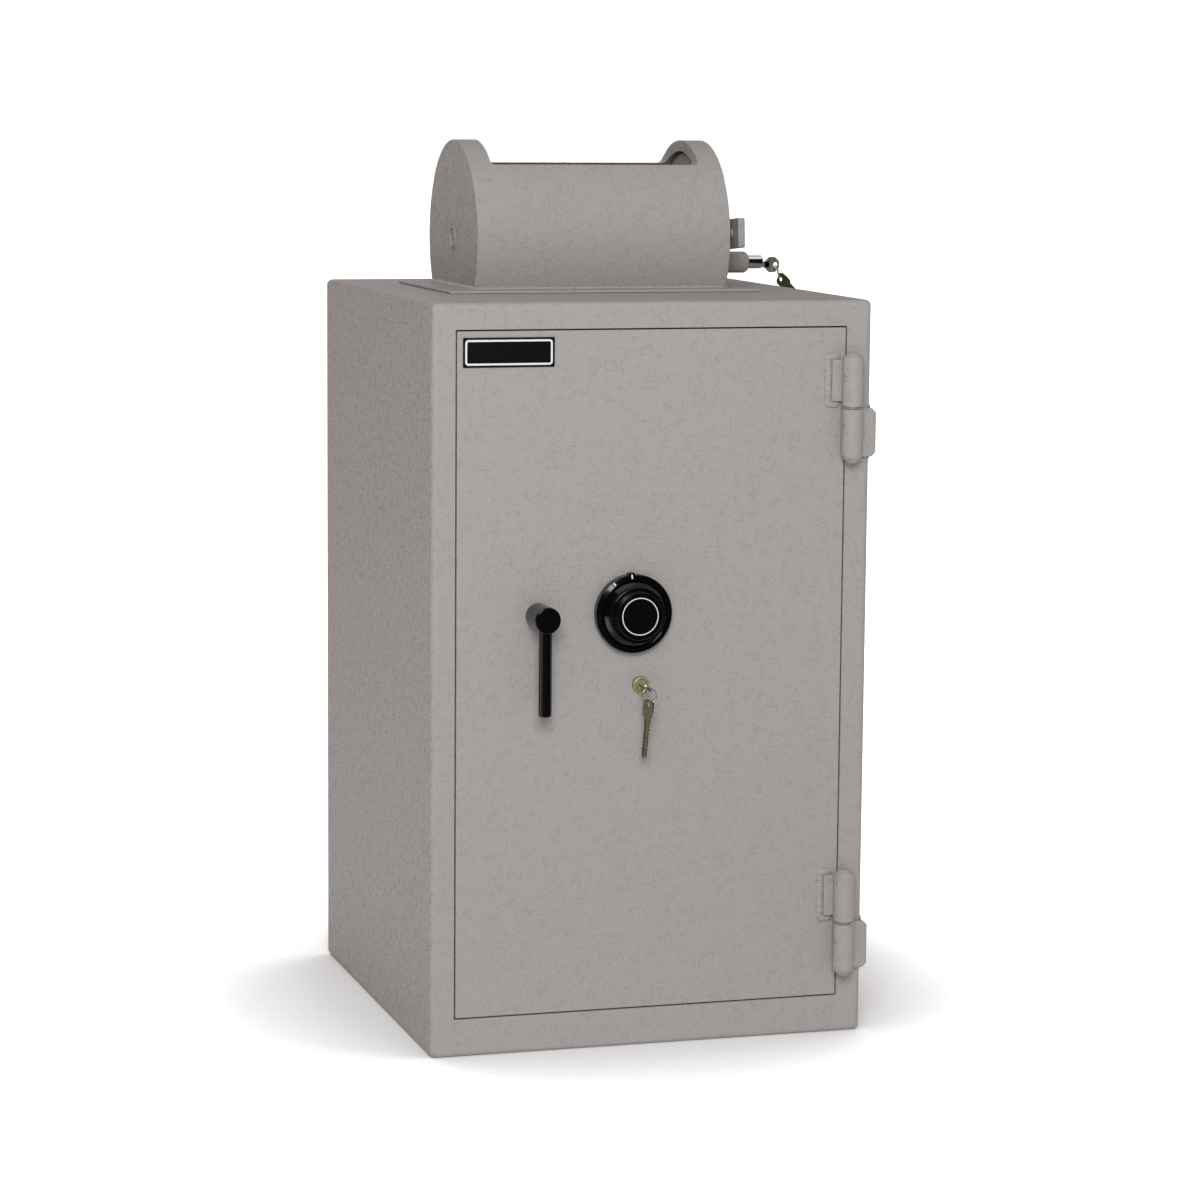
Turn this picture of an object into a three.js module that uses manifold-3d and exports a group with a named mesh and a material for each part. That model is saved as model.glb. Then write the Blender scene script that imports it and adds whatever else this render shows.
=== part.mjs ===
// Rotary hopper safe: a plate steel cabinet with a flush door, and a turning deposit drum on its top.
// Units are millimetres. X runs to the right, Y to the back and Z up.
// The origin is the middle of the cabinet's underside.

import * as THREE from 'three';
import Module from 'manifold-3d';
import { mergeVertices } from 'three/addons/utils/BufferGeometryUtils.js';

// Cabinet
const cabinetWidth = 484.5;
const cabinetDepth = 500;
const cabinetHeight = 800;
const wrapThickness = 6.35;
const frameThickness = 12.7;
const backThickness = 6.35;
const cornerRound = 6.5;
const edgeRound = 5.5;
const innerRound = 1.2;
const frameBorder = { left: 25.4, right: 27.9, top: 27.8, bottom: 40.8 };

// Clearances
const seat = 0.3;
const runningGap = 0.35;
const doorGap = 1.6;

// Boolean tools reach this far past what they cut or join, or well clear of it where there is room
const past = 1;
const clear = 5;

// Door
const doorThickness = 12.7;
const label = { width: 98.7, height: 31, thick: 1, fromDoorLeft: 5.9, fromDoorTop: 6.6, round: 0.6 };
const doorStop = { width: 33, thick: 6, endInset: 12 };

// Hinges
const hinge = {
  fromSide: 25.1,
  fromFront: 12.5,
  radius: 11.2,
  pinRadius: 6,
  lowerLength: 58,
  washerSpace: 3,
  upperLength: 57,
  endChamfer: 5,
  boreEnd: 8,
  leafFromAxis: 4,
  leafThick: 5,
  upperFromTop: 173.8,
  lowerFromBottom: 65.4,
};
const doorLeaf = { reach: 20.5, low: 5, high: 49.5, cornerCut: 2 };
const bodyLeaf = { low: 6, overhang: 5.7, legThick: 5.4, legDepth: 25, cornerCut: 6 };

// Lever handle and its cam
const lever = {
  fromDoorLeft: 88.75,
  aboveMiddle: 70.8,
  hubRadius: 14,
  hubLength: 39,
  hubRound: 1.5,
  rodRadius: 7,
  rodEndRound: 3,
  rodOut: 28,
  rodDrop: 103.5,
  rodTop: 9,
  shaftRadius: 6.35,
  shaftInHub: 18,
};
const leverCam = { radius: 21, thick: 7, fromDoor: 0.8, pinRadius: 5, pinThrow: 14.142, pinLength: 11 };

// Boltwork behind the door
const boltThrow = 20;
const boltCount = 3;
const bolt = { radius: 10, tipInset: 2, chamfer: 2, fromEdge: 118, overlap: 18, slotGap: 0.3 };
const bar = { leftFromTip: 34, width: 30, thick: 8, fromDoor: 9, pastBolts: 20 };
const barSlotGap = 0.9;
const barPad = { reach: 20, half: 14 };
const barPost = {
  aboveFirst: 120,
  belowLast: 80,
  radius: 4,
  spacerRadius: 8,
  headRadius: 8,
  headThick: 5,
  inset: 13,
};
const boltGuide = { thick: 6, depth: 28, fromTip: 4.2, pastBolts: 60, holeGap: 0.5 };
const camPlate = { right: 28.5, below: 33.3, above: 12.7 };
const arm = { pastKey: 17.4, aboveKey: 19.7, belowDial: 44.1 };
const deadBar = { reach: 23.75, overlap: 10.25, splitInset: 4.75, thick: 7.5, step: 1.5, fromEdge: 78 };

// Combination lock
const dial = {
  fromDoorLeft: 191.65,
  aboveMiddle: 70.9,
  ringRadius: 42,
  ringThick: 10,
  ringCrown: 11.5,
  ringFloor: 6,
  ringInner: 35.2,
  ringBore: 14,
  ringEdge: 0.8,
  ringSlope: 1.2,
  crownEdge: 0.5,
  tabWidth: 6.6,
  tabHeight: 1.8,
  tabTurned: -4.5,
  knobGap: 0.8,
  skirtRadius: 34,
  skirtSlope: 5,
  stepRadius: 30,
  gripRadius: 25.5,
  skirtTop: 17,
  stepTop: 24,
  stepEdge: 0.7,
  stepRise: 1,
  faceOut: 31,
  faceEdge: 0.8,
};
const spindleRadius = 3.97;
const spindleInKnob = 13;
const spindleHoleGap = 2.5;
const lockCase = { half: 31, below: 34.1, above: 48.9, depth: 27, wall: 3, floor: 6, cover: 3 };
const wheel = { radius: 19, thick: 2.5, pitch: 4, firstGap: 2, count: 3 };
const wheelNotch = { half: 2, depth: 4, turn: 95, first: 20 };
const wheelPostRadius = 6.35;
const wheelPostOut = 0.5;
const driveCam = { thick: 4, gap: 0.8, notchHalf: 3, notchDepth: 6 };
const spindleEndGap = 1;
const lockBolt = { halfWidth: 6, thick: 9.4, height: 14.3, showing: 0.3, guideGap: 0.4 };
const lockLug = { gap: 1.2, width: 6, height: 8 };

// Key lock in the door
const keyLock = {
  fromDoorLeft: 201.85,
  belowMiddle: 6.5,
  radius: 8.8,
  out: 5,
  plugRadius: 5.9,
  plugToBar: 1.3,
  keywayEnd: 4,
  camPinRadius: 1.5,
  camPinThrow: 4.6,
  camPinToBar: 0.3,
};
const keyCase = { half: 25, below: 24.3, above: 11.7, depth: 23, wall: 3 };
const keyBolt = {
  half: 9.6,
  below: 11.3,
  shoulder: 1.6,
  above: 12,
  tipHalf: 6,
  frontGap: 0.3,
  backGap: 0.1,
  slotGap: 0.4,
  slotReach: 7.3,
  slotNear: 0.6,
  slotHalf: 2.4,
};
const keyLug = { gap: 1.2, width: 6, drop: 6.5 };

// Keys and rings
const key = {
  thick: 1.9,
  bladeWidth: 7,
  bladeLength: 40,
  bowWidth: 15,
  bowLength: 20,
  bowRound: 5,
  neckWidth: 8,
  neckLength: 4.5,
  holeRadius: 2.75,
  holeFromEnd: 5,
  bladeGap: 0.4,
  endGap: 5,
};
const keyTurned = -42;
const ring = { radius: 8.15, wire: 0.85, lean: 10, seatAlongKey: 0.6 };
const spareDrop = 1.2;
const doorSpare = { yaw: 28, tilt: -6 };

// Hopper
const hopper = {
  length: 290.2,
  fromRight: 93.85,
  fromFront: 305,
  aboveTop: 56,
  radius: 108,
  wall: 12,
  capThick: 12.7,
  mouthFromLeft: 24.8,
  mouthFromRight: 25.4,
  mouthHeight: 81.5,
};
const hopperBase = { left: 38.7, right: 26.6, front: 137, back: 95, thick: 2.5 };
const shaftRadius = 9.525;
const bushRadius = 12.7;
const shaftRecess = 0.7;
const drum = { gap: 2, wall: 3.2, endThick: 5, endGap: 1.5, mouthHalf: 46 };
const handle = {
  thick: 8.2,
  half: 16.6,
  fromCap: 13.4,
  reach: 95,
  shaftIn: 0.5,
  tilt: 4.5,
  boltFromEnd: 20,
  boltRadius: 3.2,
  headRadius: 4.8,
  headThick: 2.6,
  headCrown: 0.6,
  headShoulder: { radius: 0.92, out: 0.55 },
  boltOut: 1.5,
  tipRound: 3,
};

// Push lock on the hopper's right end
const pushLock = {
  below: 29.6,
  tubeRadius: 12.2,
  tubeLength: 56.1,
  barrelRadius: 7.5,
  barrelStart: 11.6,
  barrelOut: 74.1,
  barrelEdge: 1.5,
  pinRadius: 4,
  pinEdge: 1,
  pinInCap: 0.8,
  holeGap: 0.5,
  plugRadius: 5.5,
  plugLength: 36,
};
const hopperKey = {
  offset: 2.9,
  shankWidth: 7,
  bladeWidth: 4,
  bladeRise: 0.4,
  bladeLength: 26,
  bladeGap: 2,
  neckLength: 4.6,
  neckInBow: 1,
  bowSize: 17.6,
  holeFromEnd: 4.4,
  holeRadius: 2.6,
};
const hopperRing = { yaw: 25, lean: 24 };
const hopperSpare = { yaw: 65, tilt: 60 };

// Round sections are cut into this many sides
const sides = { large: 64, dial: 48, middle: 24, small: 16, wire: 8 };

const degrees = Math.PI / 180;
const wasm = await Module();
wasm.setup();

// Signed volume of a triangle soup, negative when its faces point inwards.
function signedVolume(geometry) {
  const index = geometry.getIndex();
  const place = geometry.getAttribute('position');
  const a = new THREE.Vector3();
  const b = new THREE.Vector3();
  const c = new THREE.Vector3();
  let volume = 0;
  for (let i = 0; i < index.count; i += 3) {
    a.fromBufferAttribute(place, index.getX(i));
    b.fromBufferAttribute(place, index.getX(i + 1));
    c.fromBufferAttribute(place, index.getX(i + 2));
    volume += a.dot(b.cross(c)) / 6;
  }
  return volume;
}

// Only the corner positions, shared between faces, with the faces turned outwards.
function closed(geometry) {
  const bare = geometry.clone();
  bare.deleteAttribute('normal');
  bare.deleteAttribute('uv');
  const merged = mergeVertices(bare, 1e-4);
  if (signedVolume(merged) < 0) {
    const index = merged.getIndex();
    for (let i = 0; i < index.count; i += 3) {
      const first = index.getX(i);
      index.setX(i, index.getX(i + 1));
      index.setX(i + 1, first);
    }
  }
  return merged;
}

function toSolid(geometry) {
  const shell = closed(geometry);
  return new wasm.Manifold(new wasm.Mesh({
    numProp: 3,
    vertProperties: new Float32Array(shell.getAttribute('position').array),
    triVerts: new Uint32Array(shell.getIndex().array),
  }));
}

function fromSolid(solid) {
  const mesh = solid.getMesh();
  const geometry = new THREE.BufferGeometry();
  geometry.setAttribute('position', new THREE.BufferAttribute(new Float32Array(mesh.vertProperties), 3));
  geometry.setIndex(new THREE.BufferAttribute(new Uint32Array(mesh.triVerts), 1));
  return geometry;
}

function join(...pieces) {
  return fromSolid(pieces.map(toSolid).reduce((whole, piece) => whole.add(piece)));
}

function cut(piece, ...tools) {
  return fromSolid(tools.map(toSolid).reduce((rest, tool) => rest.subtract(tool), toSolid(piece)));
}

function common(first, second) {
  return fromSolid(toSolid(first).intersect(toSolid(second)));
}

function box(x0, x1, y0, y1, z0, z1) {
  const block = new THREE.BoxGeometry(x1 - x0, y1 - y0, z1 - z0);
  return block.translate((x0 + x1) / 2, (y0 + y1) / 2, (z0 + z1) / 2);
}

// Turns a shape made about +Y so that it runs along the named axis, at (a, b) across it.
function along(axis, geometry, a, b) {
  if (axis === 'x') return geometry.rotateZ(-Math.PI / 2).translate(0, a, b);
  if (axis === 'z') return geometry.rotateX(Math.PI / 2).translate(a, b, 0);
  return geometry.translate(a, 0, b);
}

// A turned piece: the profile is a list of [radius, station along the axis] that starts and ends on the axis
// or closes on itself.
function turned(axis, profile, a, b, count = sides.middle) {
  const points = profile.map(([radius, station]) => new THREE.Vector2(radius, station));
  return closed(along(axis, new THREE.LatheGeometry(points, count), a, b));
}

function rod(axis, radius, from, to, a, b, count = sides.middle) {
  return turned(axis, [[0, from], [radius, from], [radius, to], [0, to]], a, b, count);
}

function tube(axis, inner, outer, from, to, a, b, count = sides.middle) {
  return turned(axis, [[inner, from], [outer, from], [outer, to], [inner, to], [inner, from]], a, b, count);
}

function outline(points) {
  return new THREE.Shape(points.map(([u, v]) => new THREE.Vector2(u, v)));
}

function arcPoints(radius, start, end, count, u = 0, v = 0) {
  const points = [];
  for (let i = 0; i <= count; i += 1) {
    const angle = (start + (end - start) * i / count) * degrees;
    points.push([u + radius * Math.cos(angle), v + radius * Math.sin(angle)]);
  }
  return points;
}

function roundedPoints(u0, u1, v0, v1, radius, count = 4) {
  return [
    ...arcPoints(radius, 0, 90, count, u1 - radius, v1 - radius),
    ...arcPoints(radius, 90, 180, count, u0 + radius, v1 - radius),
    ...arcPoints(radius, 180, 270, count, u0 + radius, v0 + radius),
    ...arcPoints(radius, 270, 360, count, u1 - radius, v0 + radius),
  ];
}

// A plate whose outline lies in X and Z, between two stations in Y.
function plateXZ(shape, y0, y1) {
  const slab = new THREE.ExtrudeGeometry(shape, { depth: y1 - y0, bevelEnabled: false });
  return slab.rotateX(Math.PI / 2).translate(0, y1, 0);
}

// A plate whose outline lies in Y and Z, between two stations in X.
function plateYZ(shape, x0, x1) {
  const slab = new THREE.ExtrudeGeometry(shape, { depth: x1 - x0, bevelEnabled: false });
  const turn = new THREE.Matrix4().makeBasis(
    new THREE.Vector3(0, 1, 0),
    new THREE.Vector3(0, 0, 1),
    new THREE.Vector3(1, 0, 0),
  );
  return slab.applyMatrix4(turn).translate(x0, 0, 0);
}

// A closed solid through a row of convex outlines with as many points each.
function loft(rings) {
  const count = rings[0].length;
  const places = rings.flat(2);
  const faces = [];
  for (let r = 0; r + 1 < rings.length; r += 1) {
    for (let i = 0; i < count; i += 1) {
      const here = r * count + i;
      const next = r * count + (i + 1) % count;
      faces.push(here, next, next + count, here, next + count, here + count);
    }
  }
  const last = (rings.length - 1) * count;
  for (let i = 1; i + 1 < count; i += 1) {
    faces.push(0, i + 1, i, last, last + i, last + i + 1);
  }
  const geometry = new THREE.BufferGeometry();
  geometry.setAttribute('position', new THREE.Float32BufferAttribute(places, 3));
  geometry.setIndex(faces);
  return closed(geometry);
}

// Finishes, as colour, roughness and metalness
const finishes = {
  wrinklePaint: [0x9c9894, 0.62, 0.1],
  sidePaint: [0x8a827c, 0.62, 0.1],
  blackGloss: [0x141414, 0.25, 0.0],
  labelBlack: [0x1b1b1b, 0.45, 0.0],
  bareSteel: [0x8f9092, 0.4, 1.0],
  zincPlate: [0xb7b9ba, 0.35, 1.0],
  brass: [0xb39a55, 0.3, 1.0],
  chrome: [0xd8dadc, 0.12, 1.0],
  nickelKey: [0x8b8a78, 0.35, 1.0],
  ringWire: [0xc6c6c2, 0.25, 1.0],
  castAlloy: [0x9a9b9c, 0.5, 0.8],
};

const safe = new THREE.Group();
safe.name = 'rotary_hopper_safe';

function add(name, geometry, finish) {
  const [color, roughness, metalness] = finishes[finish];
  const shape = closed(geometry);
  shape.computeVertexNormals();
  const mesh = new THREE.Mesh(shape, new THREE.MeshStandardMaterial({ color, roughness, metalness }));
  mesh.name = name;
  safe.add(mesh);
  return mesh;
}

// Stations that the pieces share
const halfWidth = cabinetWidth / 2;
const front = -cabinetDepth / 2;
const back = cabinetDepth / 2;
const frameBack = front + frameThickness;
const doorBack = front + doorThickness;
const onFace = front - seat;
const onBack = doorBack + seat;
const insideX = halfWidth - wrapThickness;
const insideTop = cabinetHeight - wrapThickness;
const opening = {
  left: -halfWidth + frameBorder.left,
  right: halfWidth - frameBorder.right,
  bottom: frameBorder.bottom,
  top: cabinetHeight - frameBorder.top,
};
const door = {
  left: opening.left + doorGap,
  right: opening.right - doorGap,
  bottom: opening.bottom + doorGap,
  top: opening.top - doorGap,
};
const middle = cabinetHeight / 2;
const leverX = door.left + lever.fromDoorLeft;
const leverZ = middle + lever.aboveMiddle;
const dialX = door.left + dial.fromDoorLeft;
const dialZ = middle + dial.aboveMiddle;
const keyX = door.left + keyLock.fromDoorLeft;
const keyZ = middle - keyLock.belowMiddle;
const hopperRight = halfWidth - hopper.fromRight;
const hopperLeft = hopperRight - hopper.length;
const hopperY = front + hopper.fromFront;
const hopperZ = cabinetHeight + hopper.aboveTop;
const capInner = { left: hopperLeft + hopper.capThick, right: hopperRight - hopper.capThick };
const shellInner = hopper.radius - hopper.wall;
const drumRadius = shellInner - drum.gap;
const disc = {
  left: capInner.left + drum.endGap,
  right: capInner.right - drum.endGap,
};

function halfChord(radius, height) {
  return Math.sqrt(radius * radius - height * height);
}

// Body wrap: one plate bent round the two sides, the top and the bottom, with the hopper's hole in its top.
function bodyWrap() {
  const shape = outline(roundedPoints(-halfWidth, halfWidth, 0, cabinetHeight, cornerRound));
  const inner = roundedPoints(-insideX, insideX, wrapThickness, insideTop, innerRound, 1);
  shape.holes.push(new THREE.Path(inner.map(([x, z]) => new THREE.Vector2(x, z))));
  const half = halfChord(hopper.radius, hopperZ - cabinetHeight) + seat;
  const hole = box(
    hopperLeft - seat, hopperRight + seat,
    hopperY - half, hopperY + half,
    insideTop - clear, cabinetHeight + clear,
  );
  return cut(plateXZ(shape, frameBack + seat, back), hole);
}
add('body_wrap', bodyWrap(), 'sidePaint');

// Back plate: let into the wrap's rear end and welded.
add('back_plate', plateXZ(outline(roundedPoints(
  -insideX + seat, insideX - seat,
  wrapThickness + seat, insideTop - seat,
  innerRound, 1,
)), back - backThickness, back), 'sidePaint');

// Front frame: a thick plate ring with rounded front edges, welded to the wrap.
function frontFrame() {
  const steps = 4;
  const rings = [];
  for (let i = 0; i <= steps; i += 1) {
    const angle = 90 * degrees * i / steps;
    const inset = edgeRound * (1 - Math.sin(angle));
    const y = front + edgeRound * (1 - Math.cos(angle));
    const points = roundedPoints(
      -halfWidth + inset, halfWidth - inset,
      inset, cabinetHeight - inset,
      cornerRound - inset,
    );
    rings.push(points.map(([x, z]) => [x, y, z]));
  }
  const rear = roundedPoints(-halfWidth, halfWidth, 0, cabinetHeight, cornerRound);
  rings.push(rear.map(([x, z]) => [x, frameBack, z]));
  const hole = box(
    opening.left, opening.right,
    front - clear, frameBack + clear,
    opening.bottom, opening.top,
  );
  return cut(loft(rings), hole);
}
add('front_frame', frontFrame(), 'wrinklePaint');

// Door stops: flat bars behind the frame's top and bottom borders that the closed door lies against.
const stopX = insideX - doorStop.endInset;
add('door_stop_top', box(
  -stopX, stopX, frameBack + seat, frameBack + seat + doorStop.thick,
  insideTop - seat - doorStop.width, insideTop - seat,
), 'sidePaint');
add('door_stop_bottom', box(
  -stopX, stopX, frameBack + seat, frameBack + seat + doorStop.thick,
  wrapThickness + seat, wrapThickness + seat + doorStop.width + opening.bottom - frameBorder.top,
), 'sidePaint');

// Hopper base: a thin plate round the hopper on the cabinet's top.
function hopperBasePlate() {
  const low = cabinetHeight + seat;
  const high = low + hopperBase.thick;
  const half = halfChord(hopper.radius, hopperZ - high) + seat;
  const plate = box(
    hopperLeft - hopperBase.left, hopperRight + hopperBase.right,
    hopperY - hopperBase.front, hopperY + hopperBase.back,
    low, high,
  );
  const hole = box(
    hopperLeft - seat, hopperRight + seat,
    hopperY - half, hopperY + half,
    low - past, high + past,
  );
  return cut(plate, hole);
}
add('hopper_base', hopperBasePlate(), 'wrinklePaint');

// Hopper shell: a thick tube with a flame-cut mouth on top and the same opening below.
function hopperShell() {
  const shell = tube(
    'x', shellInner, hopper.radius,
    capInner.left + seat, capInner.right - seat,
    hopperY, hopperZ, sides.large,
  );
  const reach = hopper.radius + clear;
  const mouth = (low, high) => box(
    hopperLeft + hopper.mouthFromLeft, hopperRight - hopper.mouthFromRight,
    hopperY - reach, hopperY + reach,
    low, high,
  );
  return cut(
    shell,
    mouth(hopperZ + hopper.mouthHeight, hopperZ + reach),
    mouth(hopperZ - reach, hopperZ - hopper.mouthHeight),
  );
}
add('hopper_shell', hopperShell(), 'wrinklePaint');

// Hopper end caps: discs welded to the shell, bored for the shaft bushes; the right one takes the lock pin.
const pinZ = hopperZ - pushLock.below;
const tubeEnd = hopperRight + pushLock.tubeLength;
const barrelStart = hopperRight + pushLock.barrelStart;
const barrelEnd = hopperRight + pushLock.barrelOut;
const pinTip = capInner.right - pushLock.pinInCap;
function hopperCap(from, to, tools) {
  const plain = rod('x', hopper.radius, from, to, hopperY, hopperZ, sides.large);
  const bore = rod('x', bushRadius + seat, from - past, to + past, hopperY, hopperZ);
  return cut(plain, bore, ...tools);
}
add('hopper_cap_left', hopperCap(hopperLeft, capInner.left, []), 'sidePaint');
add('hopper_cap_right', hopperCap(capInner.right, hopperRight, [
  rod(
    'x', pushLock.pinRadius + pushLock.holeGap,
    capInner.right - past, hopperRight + past,
    hopperY, pinZ, sides.small,
  ),
]), 'wrinklePaint');

// Shaft bushes: steel rings pressed into the caps; the right one stands out to the handle.
const handleLeft = hopperRight + handle.fromCap;
function bush(from, to) {
  return tube('x', shaftRadius + runningGap, bushRadius, from, to, hopperY, hopperZ);
}
add('shaft_bush_left', bush(hopperLeft, capInner.left - seat), 'bareSteel');
add('shaft_bush_right', bush(capInner.right + seat, handleLeft - seat), 'wrinklePaint');

// Lock tube: a thick tube on the right cap that guides the push lock's barrel.
add('lock_tube', tube(
  'x', pushLock.barrelRadius + runningGap, pushLock.tubeRadius,
  hopperRight + seat, tubeEnd, hopperY, pinZ,
), 'wrinklePaint');

// Hinges: the lower knuckle is welded to the cabinet with its leaf, the upper one to the door.
const hingeX = halfWidth - hinge.fromSide;
const hingeY = front - hinge.fromFront;
const leafFront = onFace - hinge.leafThick;
const upperStart = hinge.lowerLength + hinge.washerSpace;
const barrelLength = upperStart + hinge.upperLength;
const hingeBore = hinge.pinRadius + runningGap;

function cutCorners(plate, x0, x1, z0, z1, cornerCut, atRight) {
  const left = atRight ? 0 : cornerCut;
  const right = atRight ? cornerCut : 0;
  const mask = outline([
    [x0 + left, z0], [x1 - right, z0], [x1, z0 + right], [x1, z1 - right],
    [x1 - right, z1], [x0 + left, z1], [x0, z1 - left], [x0, z0 + left],
  ].filter(([x, z], i, all) => i === 0 || x !== all[i - 1][0] || z !== all[i - 1][1]));
  return common(plate, plateXZ(mask, leafFront - past, front + bodyLeaf.legDepth + past));
}

function lowerKnuckle(base) {
  const top = base + hinge.lowerLength;
  const barrel = turned('z', [
    [0, base], [hinge.radius - hinge.endChamfer, base], [hinge.radius, base + hinge.endChamfer],
    [hinge.radius, top], [hingeBore, top], [hingeBore, base + hinge.boreEnd], [0, base + hinge.boreEnd],
  ], hingeX, hingeY);
  const z0 = base + bodyLeaf.low;
  const z1 = base + hinge.lowerLength;
  const outer = halfWidth + bodyLeaf.overhang;
  const frontLeg = box(hingeX + hinge.leafFromAxis, outer, leafFront, onFace, z0, z1);
  const sideLeg = box(outer - bodyLeaf.legThick, outer, leafFront, front + bodyLeaf.legDepth, z0, z1);
  const leaf = cutCorners(join(frontLeg, sideLeg), hingeX, outer, z0, z1, bodyLeaf.cornerCut, true);
  return join(barrel, leaf);
}

function upperKnuckle(base) {
  const bottom = base + upperStart;
  const top = base + barrelLength;
  const barrel = turned('z', [
    [hingeBore, bottom], [hinge.radius, bottom], [hinge.radius, top - hinge.endChamfer],
    [hinge.radius - hinge.endChamfer, top], [0, top],
    [0, top - hinge.boreEnd], [hingeBore, top - hinge.boreEnd], [hingeBore, bottom],
  ], hingeX, hingeY);
  const z0 = bottom + doorLeaf.low;
  const z1 = bottom + doorLeaf.high;
  const x0 = hingeX - doorLeaf.reach;
  const plate = box(x0, hingeX - hinge.leafFromAxis, leafFront, onFace, z0, z1);
  return join(barrel, cutCorners(plate, x0, hingeX, z0, z1, doorLeaf.cornerCut, false));
}

const hingeBases = [['top', cabinetHeight - hinge.upperFromTop], ['bottom', hinge.lowerFromBottom]];
for (const [place, base] of hingeBases) {
  add(`hinge_lower_knuckle_${place}`, lowerKnuckle(base), 'wrinklePaint');
  add(`hinge_pin_${place}`, rod(
    'z', hinge.pinRadius,
    base + hinge.boreEnd + seat, base + barrelLength - hinge.boreEnd - seat,
    hingeX, hingeY,
  ), 'bareSteel');
  add(`hinge_washer_${place}`, tube(
    'z', hingeBore, hinge.radius,
    base + hinge.lowerLength + seat, base + upperStart - seat,
    hingeX, hingeY,
  ), 'zincPlate');
  add(`hinge_upper_knuckle_${place}`, upperKnuckle(base), 'wrinklePaint');
}

// Door plate: one thick flush plate, bored for the lever, the dial's spindle and the key cylinder.
function bored(radius, x, z) {
  return rod('y', radius, front - past, doorBack + past, x, z);
}
add('door_plate', cut(
  box(door.left, door.right, front, doorBack, door.bottom, door.top),
  bored(lever.shaftRadius + runningGap, leverX, leverZ),
  bored(spindleRadius + spindleHoleGap, dialX, dialZ),
  bored(keyLock.radius + seat, keyX, keyZ),
), 'wrinklePaint');

// Label plate: a thin bare plate in the door's upper left corner.
const labelLeft = door.left + label.fromDoorLeft;
const labelTop = door.top - label.fromDoorTop;
add('label_plate', plateXZ(
  outline(roundedPoints(labelLeft, labelLeft + label.width, labelTop - label.height, labelTop, label.round)),
  onFace - label.thick, onFace,
), 'labelBlack');

// Lever handle: a hub on the shaft, with a round rod through it that hangs down when the door is unlocked.
const rodY = front - lever.rodOut;
const hubFront = front - lever.hubLength;
const shaftEnd = onFace - lever.shaftInHub;
add('lever_hub', cut(
  turned('y', [
    [0, onFace], [lever.hubRadius, onFace], [lever.hubRadius, hubFront + lever.hubRound],
    [lever.hubRadius - lever.hubRound, hubFront], [0, hubFront],
  ], leverX, leverZ, sides.middle),
  rod('y', lever.shaftRadius + seat, shaftEnd - seat, onFace + past, leverX, leverZ),
  rod(
    'z', lever.rodRadius + seat,
    leverZ - lever.hubRadius - past, leverZ + lever.rodTop + seat,
    leverX, rodY,
  ),
), 'blackGloss');
const rodBottom = leverZ - lever.rodDrop;
add('lever_rod', turned('z', [
  [0, rodBottom],
  ...arcPoints(
    lever.rodEndRound, 270, 360, 3,
    lever.rodRadius - lever.rodEndRound, rodBottom + lever.rodEndRound,
  ),
  [lever.rodRadius, leverZ + lever.rodTop], [0, leverZ + lever.rodTop],
], leverX, rodY), 'blackGloss');

// Lever cam: the shaft through the door, its cam disc and the pin that drives the bolt bar.
const camFront = doorBack + leverCam.fromDoor;
const camBack = camFront + leverCam.thick;
const pinOffset = leverCam.pinThrow * Math.SQRT1_2;
add('lever_cam', join(
  turned('y', [
    [0, shaftEnd], [lever.shaftRadius, shaftEnd], [lever.shaftRadius, camFront], [leverCam.radius, camFront],
    [leverCam.radius, camBack], [0, camBack],
  ], leverX, leverZ),
  rod(
    'y', leverCam.pinRadius, camBack - past, camBack + leverCam.pinLength,
    leverX + pinOffset, leverZ - pinOffset, sides.small,
  ),
), 'bareSteel');

// Bolt bar: carries the bolts, is driven by the lever's cam pin and is blocked by the two locks' lugs.
const tipX = door.left + bolt.tipInset;
const barLeft = tipX + bar.leftFromTip;
const barRight = barLeft + bar.width;
const barFront = doorBack + bar.fromDoor;
const barBack = barFront + bar.thick;
const barMiddle = (barFront + barBack) / 2;
const lockLugLeft = dialX + lockBolt.halfWidth + lockLug.gap;
const keyLugLeft = keyX + keyBolt.tipHalf + keyLug.gap;
const postX = barLeft + barPost.inset;
const firstBolt = door.bottom + bolt.fromEdge;
const lastBolt = door.top - bolt.fromEdge;
const boltStep = (lastBolt - firstBolt) / (boltCount - 1);
const boltZ = Array.from({ length: boltCount }, (_, i) => firstBolt + boltStep * i);
const barPostZ = [firstBolt + barPost.aboveFirst, lastBolt - barPost.belowLast];
const barLow = firstBolt - bar.pastBolts;
const barHigh = lastBolt + bar.pastBolts;
const camRight = leverX + camPlate.right;
const camLow = leverZ - camPlate.below;
const camHigh = leverZ + camPlate.above;
const armRight = keyX + arm.pastKey;
const armLow = keyZ + arm.aboveKey;
const armHigh = dialZ - arm.belowDial;
const pinSlotHalf = leverCam.pinRadius + barSlotGap;

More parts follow.
